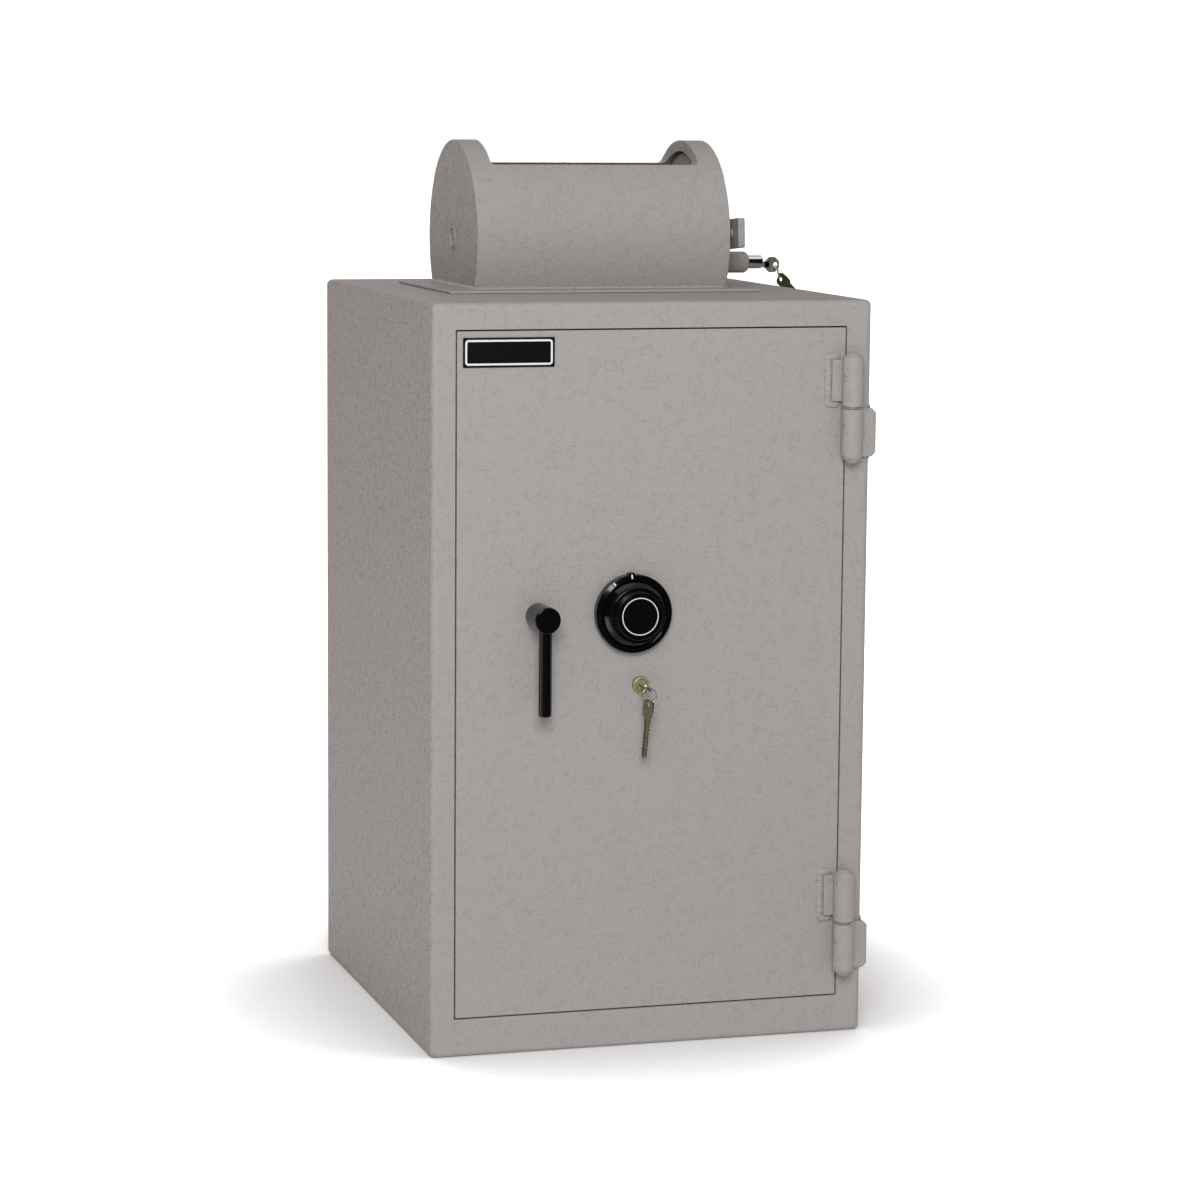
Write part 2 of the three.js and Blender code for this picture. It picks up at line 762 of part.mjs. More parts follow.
function boltBar() {
  const padRight = barRight + barPad.reach;
  const pads = barPostZ.map((z) => [
    [barRight, z - barPad.half], [padRight, z - barPad.half],
    [padRight, z + barPad.half], [barRight, z + barPad.half],
  ]);
  const shape = outline([
    [barLeft, barLow], [barRight, barLow],
    ...pads[0],
    [barRight, armLow],
    [keyLugLeft, armLow], [keyLugLeft, armLow - keyLug.drop],
    [keyLugLeft + keyLug.width, armLow - keyLug.drop], [keyLugLeft + keyLug.width, armLow],
    [armRight, armLow], [armRight, armHigh],
    [lockLugLeft + lockLug.width, armHigh], [lockLugLeft + lockLug.width, armHigh + lockLug.height],
    [lockLugLeft, armHigh + lockLug.height], [lockLugLeft, armHigh],
    [barRight, armHigh],
    [barRight, camLow], [camRight, camLow],
    [camRight, camHigh], [barRight, camHigh],
    ...pads[1],
    [barRight, barHigh], [barLeft, barHigh],
  ]);
  const through = (x0, x1, z0, z1) => box(x0, x1, barFront - past, barBack + past, z0, z1);
  const postGap = barPost.radius + barSlotGap;
  const slotEnd = postX + boltThrow + postGap;
  const slots = barPostZ.map((z) => through(postX - postGap, slotEnd, z - postGap, z + postGap));
  const pinX = leverX + pinOffset;
  const pinLow = leverZ - leverCam.pinThrow - leverCam.pinRadius - barSlotGap;
  const pinHigh = leverZ - pinOffset + leverCam.pinRadius + barSlotGap;
  slots.push(through(pinX - pinSlotHalf, pinX + pinSlotHalf, pinLow, pinHigh));
  return cut(plateXZ(shape, barFront, barBack), ...slots);
}
add('bolt_bar', boltBar(), 'bareSteel');

// Bolts: round bars, slotted at the inner end to straddle the bolt bar.
for (let i = 0; i < boltCount; i += 1) {
  const z = boltZ[i];
  const inner = barLeft + bolt.overlap;
  add(`bolt_${i + 1}`, cut(
    turned('x', [
      [0, tipX], [bolt.radius - bolt.chamfer, tipX], [bolt.radius, tipX + bolt.chamfer],
      [bolt.radius, inner], [0, inner],
    ], barMiddle, z),
    box(
      barLeft - bolt.slotGap, inner + past,
      barFront - bolt.slotGap, barBack + bolt.slotGap,
      z - bolt.radius - past, z + bolt.radius + past,
    ),
  ), 'zincPlate');
}

// Bolt guide: a flat bar on edge behind the door's free side, bored for the bolts.
const guideLeft = tipX + boltGuide.fromTip;
const guideHoles = Array.from({ length: boltCount }, (_, i) => rod(
  'x', bolt.radius + boltGuide.holeGap, guideLeft - past, guideLeft + boltGuide.thick + past,
  barMiddle, boltZ[i],
));
add('bolt_guide', cut(
  box(
    guideLeft, guideLeft + boltGuide.thick, onBack, onBack + boltGuide.depth,
    firstBolt - boltGuide.pastBolts, lastBolt + boltGuide.pastBolts,
  ),
  ...guideHoles,
), 'bareSteel');

// Bar posts: shoulder screws in the door that the bolt bar slides on.
for (const [place, z] of [['lower', barPostZ[0]], ['upper', barPostZ[1]]]) {
  const head = barBack + seat;
  add(`bar_post_${place}`, turned('y', [
    [0, onBack], [barPost.spacerRadius, onBack], [barPost.spacerRadius, barFront - seat],
    [barPost.radius, barFront - seat], [barPost.radius, head], [barPost.headRadius, head],
    [barPost.headRadius, head + barPost.headThick], [0, head + barPost.headThick],
  ], postX, z, sides.small), 'zincPlate');
}

// Dead bar: a stepped strip on the hinge side that hooks behind the frame when the door is shut.
const deadSplit = door.right - deadBar.splitInset;
const deadLow = door.bottom + deadBar.fromEdge;
const deadHigh = door.top - deadBar.fromEdge;
add('dead_bar', join(
  box(door.right - deadBar.reach, deadSplit, onBack, onBack + deadBar.thick, deadLow, deadHigh),
  box(
    deadSplit - past, door.right + deadBar.overlap,
    onBack + deadBar.step, onBack + deadBar.thick,
    deadLow, deadHigh,
  ),
), 'bareSteel');

// Dial ring: the fixed ring round the dial, with its index tab on top.
const fromFace = (out) => front - out;
add('dial_ring', join(
  turned('y', [
    [dial.ringBore, onFace], [dial.ringRadius, onFace],
    [dial.ringRadius, fromFace(dial.ringThick - dial.ringEdge)],
    [dial.ringRadius - dial.ringEdge, fromFace(dial.ringThick)],
    [dial.ringInner + dial.ringSlope, fromFace(dial.ringCrown)],
    [dial.ringInner, fromFace(dial.ringCrown - dial.crownEdge)], [dial.ringInner, fromFace(dial.ringFloor)],
    [dial.ringBore, fromFace(dial.ringFloor)], [dial.ringBore, onFace],
  ], dialX, dialZ, sides.dial),
  box(
    -dial.tabWidth / 2, dial.tabWidth / 2,
    fromFace(dial.ringThick), onFace,
    dial.ringRadius - past, dial.ringRadius + dial.tabHeight,
  ).rotateY(dial.tabTurned * degrees).translate(dialX, 0, dialZ),
), 'blackGloss');

// Dial knob: the turning dial, in three steps, on the end of the spindle.
const knobBack = fromFace(dial.ringFloor + dial.knobGap);
const knobBore = knobBack - spindleInKnob;
const boreRadius = spindleRadius + runningGap;
add('dial_knob', turned('y', [
  [0, knobBore], [boreRadius, knobBore], [boreRadius, knobBack], [dial.skirtRadius, knobBack],
  [dial.skirtRadius, fromFace(dial.skirtTop - dial.skirtSlope)], [dial.stepRadius, fromFace(dial.skirtTop)],
  [dial.stepRadius, fromFace(dial.stepTop - dial.stepEdge)],
  [dial.stepRadius - dial.stepEdge, fromFace(dial.stepTop)],
  [dial.gripRadius, fromFace(dial.stepTop + dial.stepRise)],
  [dial.gripRadius, fromFace(dial.faceOut - dial.faceEdge)],
  [dial.gripRadius - dial.faceEdge, fromFace(dial.faceOut)], [0, fromFace(dial.faceOut)],
], dialX, dialZ, sides.dial), 'blackGloss');

// Combination lock: an open-backed case with the wheels' post, its cover, the spindle, wheels and drive cam.
const caseBack = onBack + lockCase.depth;
const lockBox = {
  left: dialX - lockCase.half,
  right: dialX + lockCase.half,
  low: dialZ - lockCase.below,
  high: dialZ + lockCase.above,
};
const caseFloor = lockBox.low + lockCase.floor;
const boltBandFront = barMiddle - lockBolt.thick / 2;
const boltBandBack = barMiddle + lockBolt.thick / 2;
const wheelStart = onBack + lockCase.wall + wheel.firstGap;
const postEnd = wheelStart + (wheel.count - 1) * wheel.pitch + wheel.thick + wheelPostOut;
function combinationCase() {
  const shell = cut(
    box(lockBox.left, lockBox.right, onBack, caseBack, lockBox.low, lockBox.high),
    box(
      lockBox.left + lockCase.wall, lockBox.right - lockCase.wall,
      onBack + lockCase.wall, caseBack + past,
      caseFloor, lockBox.high - lockCase.wall,
    ),
  );
  const post = rod('y', wheelPostRadius, onBack + past, postEnd, dialX, dialZ);
  const boltHalf = lockBolt.halfWidth + lockBolt.guideGap;
  return cut(
    join(shell, post),
    rod('y', spindleRadius + runningGap, onBack - past, postEnd + past, dialX, dialZ),
    box(
      dialX - boltHalf, dialX + boltHalf,
      boltBandFront - lockBolt.guideGap, boltBandBack + lockBolt.guideGap,
      lockBox.low - past, caseFloor + past,
    ),
  );
}
add('lock_case', combinationCase(), 'castAlloy');
add('lock_cover', box(
  lockBox.left, lockBox.right, caseBack + seat, caseBack + seat + lockCase.cover, lockBox.low, lockBox.high,
), 'castAlloy');
for (let i = 0; i < wheel.count; i += 1) {
  const y = wheelStart + i * wheel.pitch;
  add(`wheel_${i + 1}`, cut(
    tube('y', wheelPostRadius + runningGap, wheel.radius, y, y + wheel.thick, dialX, dialZ),
    box(
      -wheelNotch.half, wheelNotch.half, y - past, y + wheel.thick + past,
      wheel.radius - wheelNotch.depth, wheel.radius + past,
    ).rotateY((i * wheelNotch.turn + wheelNotch.first) * degrees).translate(dialX, 0, dialZ),
  ), 'brass');
}
const driveStart = postEnd + driveCam.gap;
const driveEnd = driveStart + driveCam.thick;
add('drive_cam', cut(
  tube('y', boreRadius, wheel.radius, driveStart, driveEnd, dialX, dialZ),
  box(
    dialX - driveCam.notchHalf, dialX + driveCam.notchHalf, driveStart - past, driveEnd + past,
    dialZ + wheel.radius - driveCam.notchDepth, dialZ + wheel.radius + past,
  ),
), 'brass');
add('spindle', rod(
  'y', spindleRadius, knobBore + seat, caseBack - spindleEndGap, dialX, dialZ, sides.small,
), 'bareSteel');
const lockBoltTip = lockBox.low - lockBolt.showing;
add('lock_bolt', box(
  dialX - lockBolt.halfWidth, dialX + lockBolt.halfWidth,
  boltBandFront, boltBandBack,
  lockBoltTip, lockBoltTip + lockBolt.height,
), 'brass');

// Key cylinder: a brass barrel through the door with a turning plug, whose cam pin lifts the key lock's bolt.
const cylinderFront = front - keyLock.out;
const plugFront = cylinderFront + seat;
const plugBack = barFront - keyLock.plugToBar;
const camX = keyX - keyLock.camPinThrow * Math.SQRT1_2;
const camZ = keyZ - keyLock.camPinThrow * Math.SQRT1_2;
add('key_cylinder', tube(
  'y', keyLock.plugRadius + runningGap, keyLock.radius, cylinderFront, doorBack, keyX, keyZ,
), 'brass');

function turnedKeyway(geometry) {
  return geometry
    .translate(-keyX, 0, -keyZ)
    .rotateY(-keyTurned * degrees)
    .translate(keyX, 0, keyZ);
}
const keywayHalf = key.bladeWidth / 2 + key.bladeGap;
add('key_plug', cut(
  join(
    rod('y', keyLock.plugRadius, plugFront, plugBack, keyX, keyZ),
    rod('y', keyLock.camPinRadius, plugBack - past, barBack - keyLock.camPinToBar, camX, camZ, sides.small),
  ),
  turnedKeyway(box(
    keyX - keywayHalf, keyX + keywayHalf,
    plugFront - past, plugBack - keyLock.keywayEnd,
    keyZ - key.thick / 2 - seat, keyZ + key.thick / 2 + seat,
  )),
), 'brass');

// Key lock case: a cap over the cylinder's inner end, open towards the door, with a slot for the bolt.
const keyBox = {
  left: keyX - keyCase.half,
  right: keyX + keyCase.half,
  low: keyZ - keyCase.below,
  high: keyZ + keyCase.above,
};
const keyShoulder = keyZ + keyBolt.shoulder;
const keyBandFront = barFront - keyBolt.frontGap;
const keyBandBack = barBack - keyBolt.backGap;
add('key_lock_case', cut(
  box(keyBox.left, keyBox.right, onBack, onBack + keyCase.depth, keyBox.low, keyBox.high),
  box(
    keyBox.left + keyCase.wall, keyBox.right - keyCase.wall,
    onBack - past, onBack + keyCase.depth - keyCase.wall,
    keyBox.low + keyCase.wall, keyBox.high - keyCase.wall,
  ),
  box(
    keyX - keyBolt.tipHalf - keyBolt.slotGap, keyX + keyBolt.tipHalf + keyBolt.slotGap,
    keyBandFront - keyBolt.slotGap, keyBandBack + keyBolt.slotGap,
    keyBox.high - keyCase.wall - past, keyBox.high + past,
  ),
), 'castAlloy');
add('key_lock_bolt', cut(
  join(
    box(
      keyX - keyBolt.half, keyX + keyBolt.half,
      keyBandFront, keyBandBack, keyZ - keyBolt.below, keyShoulder,
    ),
    box(
      keyX - keyBolt.tipHalf, keyX + keyBolt.tipHalf,
      keyBandFront, keyBandBack, keyShoulder - past, keyZ + keyBolt.above,
    ),
  ),
  box(
    keyX - keyBolt.slotReach, keyX - keyBolt.slotNear,
    keyBandFront - past, keyBandBack + past,
    camZ - keyBolt.slotHalf, camZ + keyBolt.slotHalf,
  ),
), 'brass');

// A flat key in its own plane: u across it, v from the shoulder to the end of the bow.
function keyBlank(blade, bladeHalf) {
  const neck = key.neckWidth / 2;
  const bow = key.bowWidth / 2;
  const low = key.neckLength;
  const high = low + key.bowLength;
  const shape = outline([
    [-bladeHalf, -blade + bladeHalf], [0, -blade], [bladeHalf, -blade + bladeHalf],
    [bladeHalf, 0], [neck, 0], [neck, low],
    ...arcPoints(key.bowRound, 300, 360, 2, bow - key.bowRound, low + key.bowRound),
    ...arcPoints(key.bowRound, 0, 90, 3, bow - key.bowRound, high - key.bowRound),
    ...arcPoints(key.bowRound, 90, 180, 3, -bow + key.bowRound, high - key.bowRound),
    ...arcPoints(key.bowRound, 180, 240, 2, -bow + key.bowRound, low + key.bowRound),
    [-neck, low], [-neck, 0], [-bladeHalf, 0],
  ]);
  const hole = arcPoints(key.holeRadius, 0, 337.5, 15, 0, high - key.holeFromEnd);
  shape.holes.push(new THREE.Path(hole.map(([u, v]) => new THREE.Vector2(u, v))));
  const slab = new THREE.ExtrudeGeometry(shape, { depth: key.thick, bevelEnabled: false });
  return slab.translate(0, 0, -key.thick / 2);
}

// Puts a flat key in the room: its width, its length and its thickness lie along three given directions.
function placed(geometry, across, lengthwise, origin) {
  const thickness = new THREE.Vector3().crossVectors(across, lengthwise);
  const turn = new THREE.Matrix4().makeBasis(across, lengthwise, thickness);
  turn.setPosition(origin);
  return geometry.applyMatrix4(turn);
}

const vector = (x, y, z) => new THREE.Vector3(x, y, z);
const keyAcross = vector(Math.cos(keyTurned * degrees), 0, Math.sin(keyTurned * degrees));
const outwards = vector(0, -1, 0);
const shoulderY = cylinderFront - seat;
const insertedBlade = plugBack - key.endGap - shoulderY;
add('door_key', placed(
  keyBlank(insertedBlade, key.bladeWidth / 2), keyAcross, outwards,
  vector(keyX, shoulderY, keyZ),
), 'nickelKey');

// Key rings: the wire passes through the key's hole at the ring's top and through the spare's at its bottom.
function keyRing(contact, tangent, down) {
  const loop = new THREE.TorusGeometry(ring.radius, ring.wire, sides.wire, sides.middle);
  return placed(loop, tangent, down, contact.clone().addScaledVector(down, ring.radius));
}

// The spare hangs from the ring's lowest point; its plane is yawed about the vertical and it may lean in it.
function spareKey(lowest, facing, tilt) {
  const across = facing.clone();
  const lengthwise = vector(0, 0, 1);
  const turn = new THREE.Matrix4().makeRotationAxis(
    new THREE.Vector3().crossVectors(across, lengthwise), tilt * degrees,
  );
  const hole = lowest.clone().addScaledVector(vector(0, 0, -1), spareDrop);
  const blank = keyBlank(key.bladeLength, key.bladeWidth / 2);
  blank.translate(0, key.holeFromEnd - key.neckLength - key.bowLength, 0);
  return placed(blank, across.applyMatrix4(turn), lengthwise.applyMatrix4(turn), hole);
}

const doorHoleOut = shoulderY - key.neckLength - key.bowLength + key.holeFromEnd;
const doorRingTop = vector(keyX, doorHoleOut, keyZ).addScaledVector(keyAcross, ring.seatAlongKey);
const doorRingDown = vector(Math.sin(ring.lean * degrees), 0, -Math.cos(ring.lean * degrees));
const doorRingTangent = vector(-doorRingDown.z, 0, doorRingDown.x);
add('door_key_ring', keyRing(doorRingTop, doorRingTangent, doorRingDown), 'ringWire');
const doorRingCentre = doorRingTop.clone().addScaledVector(doorRingDown, ring.radius);
const doorRingLow = doorRingCentre.clone().add(vector(0, 0, -ring.radius));
add('door_spare_key', spareKey(
  doorRingLow,
  vector(Math.sin(doorSpare.yaw * degrees), -Math.cos(doorSpare.yaw * degrees), 0),
  doorSpare.tilt,
), 'nickelKey');

// Drum: an open trough between two end discs with stub shafts, turned by a flat handle bar.
function drumTrough() {
  const start = 90 + drum.mouthHalf;
  const end = 450 - drum.mouthHalf;
  const outer = arcPoints(drumRadius, start, end, sides.dial, hopperY, hopperZ);
  const inner = arcPoints(drumRadius - drum.wall, end, start, sides.dial, hopperY, hopperZ);
  return plateYZ(
    outline([...outer, ...inner]),
    disc.left + drum.endThick + seat, disc.right - drum.endThick - seat,
  );
}
add('drum_trough', drumTrough(), 'sidePaint');
const shaftLeft = hopperLeft + shaftRecess;
add('drum_end_left', turned('x', [
  [0, shaftLeft], [shaftRadius, shaftLeft], [shaftRadius, disc.left], [drumRadius, disc.left],
  [drumRadius, disc.left + drum.endThick], [0, disc.left + drum.endThick],
], hopperY, hopperZ, sides.large), 'sidePaint');
const handleRight = handleLeft + handle.thick;
const pinHole = (side) => rod(
  'x', pushLock.pinRadius + pushLock.holeGap, disc.right - drum.endThick - past, disc.right + past,
  hopperY, hopperZ + side * pushLock.below, sides.small,
);
add('drum_end_right', cut(
  turned('x', [
    [0, disc.right - drum.endThick], [drumRadius, disc.right - drum.endThick], [drumRadius, disc.right],
    [shaftRadius, disc.right], [shaftRadius, handleRight - handle.shaftIn], [0, handleRight - handle.shaftIn],
  ], hopperY, hopperZ, sides.large),
  pinHole(-1),
  pinHole(1),
), 'sidePaint');

// Handle bar: a flat bar with a round end on the shaft; it reaches to the front and carries a through bolt.
function tilted(geometry) {
  return geometry
    .translate(0, -hopperY, -hopperZ)
    .rotateX(-handle.tilt * degrees)
    .translate(0, hopperY, hopperZ);
}
const barTipY = hopperY - handle.reach;
const tipInset = handle.tipRound;
add('handle_bar', cut(
  tilted(plateYZ(outline([
    ...arcPoints(handle.half, -90, 90, 12, hopperY, hopperZ),
    ...arcPoints(tipInset, 90, 180, 3, barTipY + tipInset, hopperZ + handle.half - tipInset),
    ...arcPoints(tipInset, 180, 270, 3, barTipY + tipInset, hopperZ - handle.half + tipInset),
  ]), handleLeft, handleRight)),
  rod('x', shaftRadius + seat, handleLeft - past, handleRight + past, hopperY, hopperZ),
  tilted(rod(
    'x', handle.boltRadius + seat, handleLeft - past, handleRight + past,
    barTipY + handle.boltFromEnd, hopperZ, sides.small,
  )),
), 'wrinklePaint');
const headFront = handleLeft - seat;
add('handle_bolt', tilted(turned('x', [
  [0, headFront - handle.headThick], [handle.headRadius * handle.headCrown, headFront - handle.headThick],
  [handle.headRadius * handle.headShoulder.radius, headFront - handle.headThick * handle.headShoulder.out],
  [handle.headRadius, headFront],
  [handle.boltRadius, headFront], [handle.boltRadius, handleRight + handle.boltOut],
  [0, handleRight + handle.boltOut],
], barTipY + handle.boltFromEnd, hopperZ, sides.middle)), 'wrinklePaint');

// Push lock: a chrome barrel whose pin enters the drum's end disc, with a turning plug and its key.
const plugRight = barrelEnd - seat;
const plugLeft = plugRight - pushLock.plugLength;
add('push_lock_barrel', turned('x', [
  [0, pinTip], [pushLock.pinRadius - pushLock.pinEdge, pinTip],
  [pushLock.pinRadius, pinTip + pushLock.pinEdge],
  [pushLock.pinRadius, barrelStart], [pushLock.barrelRadius, barrelStart],
  [pushLock.barrelRadius, barrelEnd - pushLock.barrelEdge],
  [pushLock.barrelRadius - pushLock.barrelEdge, barrelEnd],
  [pushLock.plugRadius + runningGap, barrelEnd], [pushLock.plugRadius + runningGap, plugLeft - seat],
  [0, plugLeft - seat],
], hopperY, pinZ), 'chrome');
const slotHalf = key.thick / 2 + seat;
const hopperKeyZ = pinZ - hopperKey.offset;
const hopperBladeZ = hopperKeyZ + hopperKey.bladeRise;
const hopperBladeHalf = hopperKey.bladeWidth / 2;
add('push_lock_plug', cut(
  rod('x', pushLock.plugRadius, plugLeft, plugRight, hopperY, pinZ),
  box(
    plugRight - hopperKey.bladeLength - hopperKey.bladeGap, plugRight + past,
    hopperY - slotHalf, hopperY + slotHalf,
    pinZ - pushLock.plugRadius - past, hopperBladeZ + hopperBladeHalf + seat,
  ),
), 'chrome');

// Hopper key: a flat key with an eight-sided bow, lying in X and Z.
const hopperShoulder = barrelEnd + seat;
const bowLeft = hopperShoulder + hopperKey.neckLength - hopperKey.neckInBow;
const bowRight = bowLeft + hopperKey.bowSize;
const bowCentre = (bowLeft + bowRight) / 2;
const hopperHoleX = bowRight - hopperKey.holeFromEnd;
function hopperKeyBlank() {
  const half = hopperKey.shankWidth / 2;
  const bowRadius = hopperKey.bowSize / 2 / Math.cos(22.5 * degrees);
  const y0 = hopperY - key.thick / 2;
  const y1 = hopperY + key.thick / 2;
  const bow = plateXZ(outline(arcPoints(bowRadius, 22.5, 337.5, 7, bowCentre, hopperKeyZ)), y0, y1);
  const shank = box(hopperShoulder, bowCentre, y0, y1, hopperKeyZ - half, hopperKeyZ + half);
  const blade = box(
    hopperShoulder - hopperKey.bladeLength, hopperShoulder + past, y0, y1,
    hopperBladeZ - hopperBladeHalf, hopperBladeZ + hopperBladeHalf,
  );
  return cut(
    join(bow, shank, blade),
    rod('y', hopperKey.holeRadius, y0 - past, y1 + past, hopperHoleX, hopperKeyZ, sides.small),
  );
}
add('hopper_key', hopperKeyBlank(), 'nickelKey');

// The hopper's key ring leans outwards, because its spare key lies against the cabinet's side.
const yaw = hopperRing.yaw * degrees;
const lean = hopperRing.lean * degrees;
const hopperTangent = vector(Math.sin(yaw), Math.cos(yaw), 0);
const hopperDown = vector(Math.cos(yaw) * Math.sin(lean), -Math.sin(yaw) * Math.sin(lean), -Math.cos(lean));
const hopperRingTop = vector(hopperHoleX, hopperY, hopperKeyZ - ring.seatAlongKey);
add('hopper_key_ring', keyRing(hopperRingTop, hopperTangent, hopperDown), 'ringWire');
const hopperRingLow = hopperRingTop.clone().addScaledVector(hopperDown, 2 * ring.radius);
const spareYaw = hopperSpare.yaw * degrees;
add('hopper_spare_key', spareKey(
  hopperRingLow, vector(Math.cos(spareYaw), -Math.sin(spareYaw), 0), hopperSpare.tilt,
), 'nickelKey');

export default safe;
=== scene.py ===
import math

import bmesh
import bpy
import numpy as np
from mathutils import Matrix, Vector


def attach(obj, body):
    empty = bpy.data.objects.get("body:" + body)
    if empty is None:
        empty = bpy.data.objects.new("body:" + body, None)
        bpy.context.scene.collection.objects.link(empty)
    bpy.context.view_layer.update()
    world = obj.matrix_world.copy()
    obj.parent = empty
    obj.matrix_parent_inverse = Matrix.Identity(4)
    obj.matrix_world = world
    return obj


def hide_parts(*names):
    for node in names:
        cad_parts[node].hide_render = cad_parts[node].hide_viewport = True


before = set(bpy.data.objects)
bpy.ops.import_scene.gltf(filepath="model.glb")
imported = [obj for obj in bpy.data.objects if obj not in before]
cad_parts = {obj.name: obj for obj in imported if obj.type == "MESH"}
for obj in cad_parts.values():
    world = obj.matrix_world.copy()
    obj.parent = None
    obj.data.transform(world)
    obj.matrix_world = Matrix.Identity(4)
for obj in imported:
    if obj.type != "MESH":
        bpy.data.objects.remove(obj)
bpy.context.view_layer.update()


# Cabinet
# A box of bent and welded steel plate with a thick front frame. Its seams are ground flush and
# all of it is painted with a powder that crinkles as it bakes.
def rounded(corners, radius, steps=6):
    """Closed outline through corners (n, 2), counterclockwise. An arc of that radius at each corner touches
    both sides, radius * tan(half the turn) from the corner, with one more point on each side next to it."""
    corners = np.asarray(corners, float)
    radius = np.broadcast_to(np.asarray(radius, float), len(corners))
    before = corners - np.roll(corners, 1, axis=0)
    after = np.roll(corners, -1, axis=0) - corners
    before /= np.linalg.norm(before, axis=1, keepdims=True)
    after /= np.linalg.norm(after, axis=1, keepdims=True)
    turn = np.arctan2(
        before[:, 0] * after[:, 1] - before[:, 1] * after[:, 0], (before * after).sum(1)
    )
    reach = radius * np.tan(np.abs(turn) / 2)
    start = corners - before * reach[:, None]
    end = corners + after * reach[:, None]
    across = np.stack([-before[:, 1], before[:, 0]], 1) * (np.sign(turn) * radius)[:, None]
    angle = (turn[:, None] * np.linspace(0, 1, steps))[..., None]
    arm = -across[:, None]
    crossed = np.stack([-arm[..., 1], arm[..., 0]], -1)
    arc = (start + across)[:, None] + np.cos(angle) * arm + np.sin(angle) * crossed
    lead = 0.3 * radius[:, None]
    outline = np.concatenate(
        [(start - before * lead)[:, None], arc, (end + after * lead)[:, None]], axis=1
    )
    return outline.reshape(-1, 2)


def rectangle(left, right, low, high):
    """Its four corners, counterclockwise."""
    return np.array([(left, low), (right, low), (right, high), (left, high)], float)


def skin(grid, closed=False):
    """Points and faces of a grid (rows, columns, 3). Columns run round and close. Rows close too, or the
    first and the last row each end in one face."""
    rows, columns = grid.shape[:2]
    index = np.arange(rows * columns).reshape(rows, columns)
    if closed:
        index = np.concatenate([index, index[:1]])
    beside = np.roll(index, -1, axis=1)
    quads = np.stack([index[:-1], beside[:-1], beside[1:], index[1:]], -1).reshape(-1, 4)
    faces = quads.tolist()
    if not closed:
        faces += [index[0][::-1].tolist(), index[-1].tolist()]
    return grid.reshape(-1, 3), faces


def closed_mesh(shape):
    """A Blender mesh of points and faces in metres, with its doubles merged and its faces outwards."""
    points, faces = shape
    mesh = bpy.data.meshes.new("shape")
    mesh.from_pydata((points / 1000).tolist(), [], faces)
    work = bmesh.new()
    work.from_mesh(mesh)
    bmesh.ops.remove_doubles(work, verts=work.verts, dist=2e-7)
    bmesh.ops.recalc_face_normals(work, faces=work.faces)
    work.to_mesh(mesh)
    work.free()
    return mesh


def carve(shape, *tools):
    """The shape with the tools' space taken out of it, by Blender's exact boolean."""
    block = bpy.data.objects.new("block", closed_mesh(shape))
    bpy.context.collection.objects.link(block)
    helpers = [block]
    for tool in tools:
        helper = bpy.data.objects.new("tool", closed_mesh(tool))
        bpy.context.collection.objects.link(helper)
        helpers.append(helper)
        modifier = block.modifiers.new("cut", "BOOLEAN")
        modifier.operation = "DIFFERENCE"
        modifier.solver = "EXACT"
        modifier.object = helper
    bpy.context.view_layer.update()
    result = bpy.data.meshes.new_from_object(
        block.evaluated_get(bpy.context.evaluated_depsgraph_get())
    )
    points = np.empty(len(result.vertices) * 3)
    result.vertices.foreach_get("co", points)
    faces = [list(face.vertices) for face in result.polygons]
    for helper in helpers:
        bpy.data.objects.remove(helper)
    return points.reshape(-1, 3) * 1000, faces


SOFT_EDGE = math.radians(32)


def piece(name, parts, body, stands_for):
    """One object made of (shape, material) parts. It rides on the body and stands for those CAD nodes."""
    mesh = bpy.data.meshes.new(name)
    work = bmesh.new()
    for shape, material in parts:
        if material.name not in mesh.materials:
            mesh.materials.append(material)
        part = closed_mesh(shape)
        number = mesh.materials.find(material.name)
        part.polygons.foreach_set("material_index", np.full(len(part.polygons), number, np.int32))
        work.from_mesh(part)
    work.to_mesh(mesh)
    work.free()
    mesh.polygons.foreach_set("use_smooth", np.ones(len(mesh.polygons), bool))
    mesh.set_sharp_from_angle(angle=SOFT_EDGE)
    made = bpy.data.objects.new(name, mesh)
    bpy.context.collection.objects.link(made)
    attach(made, body)
    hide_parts(*stands_for)
    return made


def linear(hex_colour):
    """Linear colour of an sRGB hex value: each channel c is ((c + 0.055) / 1.055) to the power 2.4."""
    channels = np.array([int(hex_colour[i : i + 2], 16) for i in (0, 2, 4)]) / 255
    return (*np.where(channels < 0.04045, channels / 12.92, ((channels + 0.055) / 1.055) ** 2.4), 1)


def add(tree, kind, values=(), **settings):
    """Adds a node. values gives each input, by name or number, a value or an output to link."""
    node = tree.nodes.new(kind)
    for name, value in settings.items():
        setattr(node, name, value)
    for name, value in dict(values).items():
        if isinstance(value, bpy.types.NodeSocket):
            tree.links.new(value, node.inputs[name])
        else:
            node.inputs[name].default_value = value
    return node


def finish(name, **values):
    """A material of one Principled shader with constant values. Returns it with its tree and shader."""
    material = bpy.data.materials.new(name)
    material.use_nodes = True
    tree = material.node_tree
    principled = tree.nodes["Principled BSDF"]
    for socket, value in values.items():
        principled.inputs[socket.replace("_", " ")].default_value = value
    return material, tree, principled


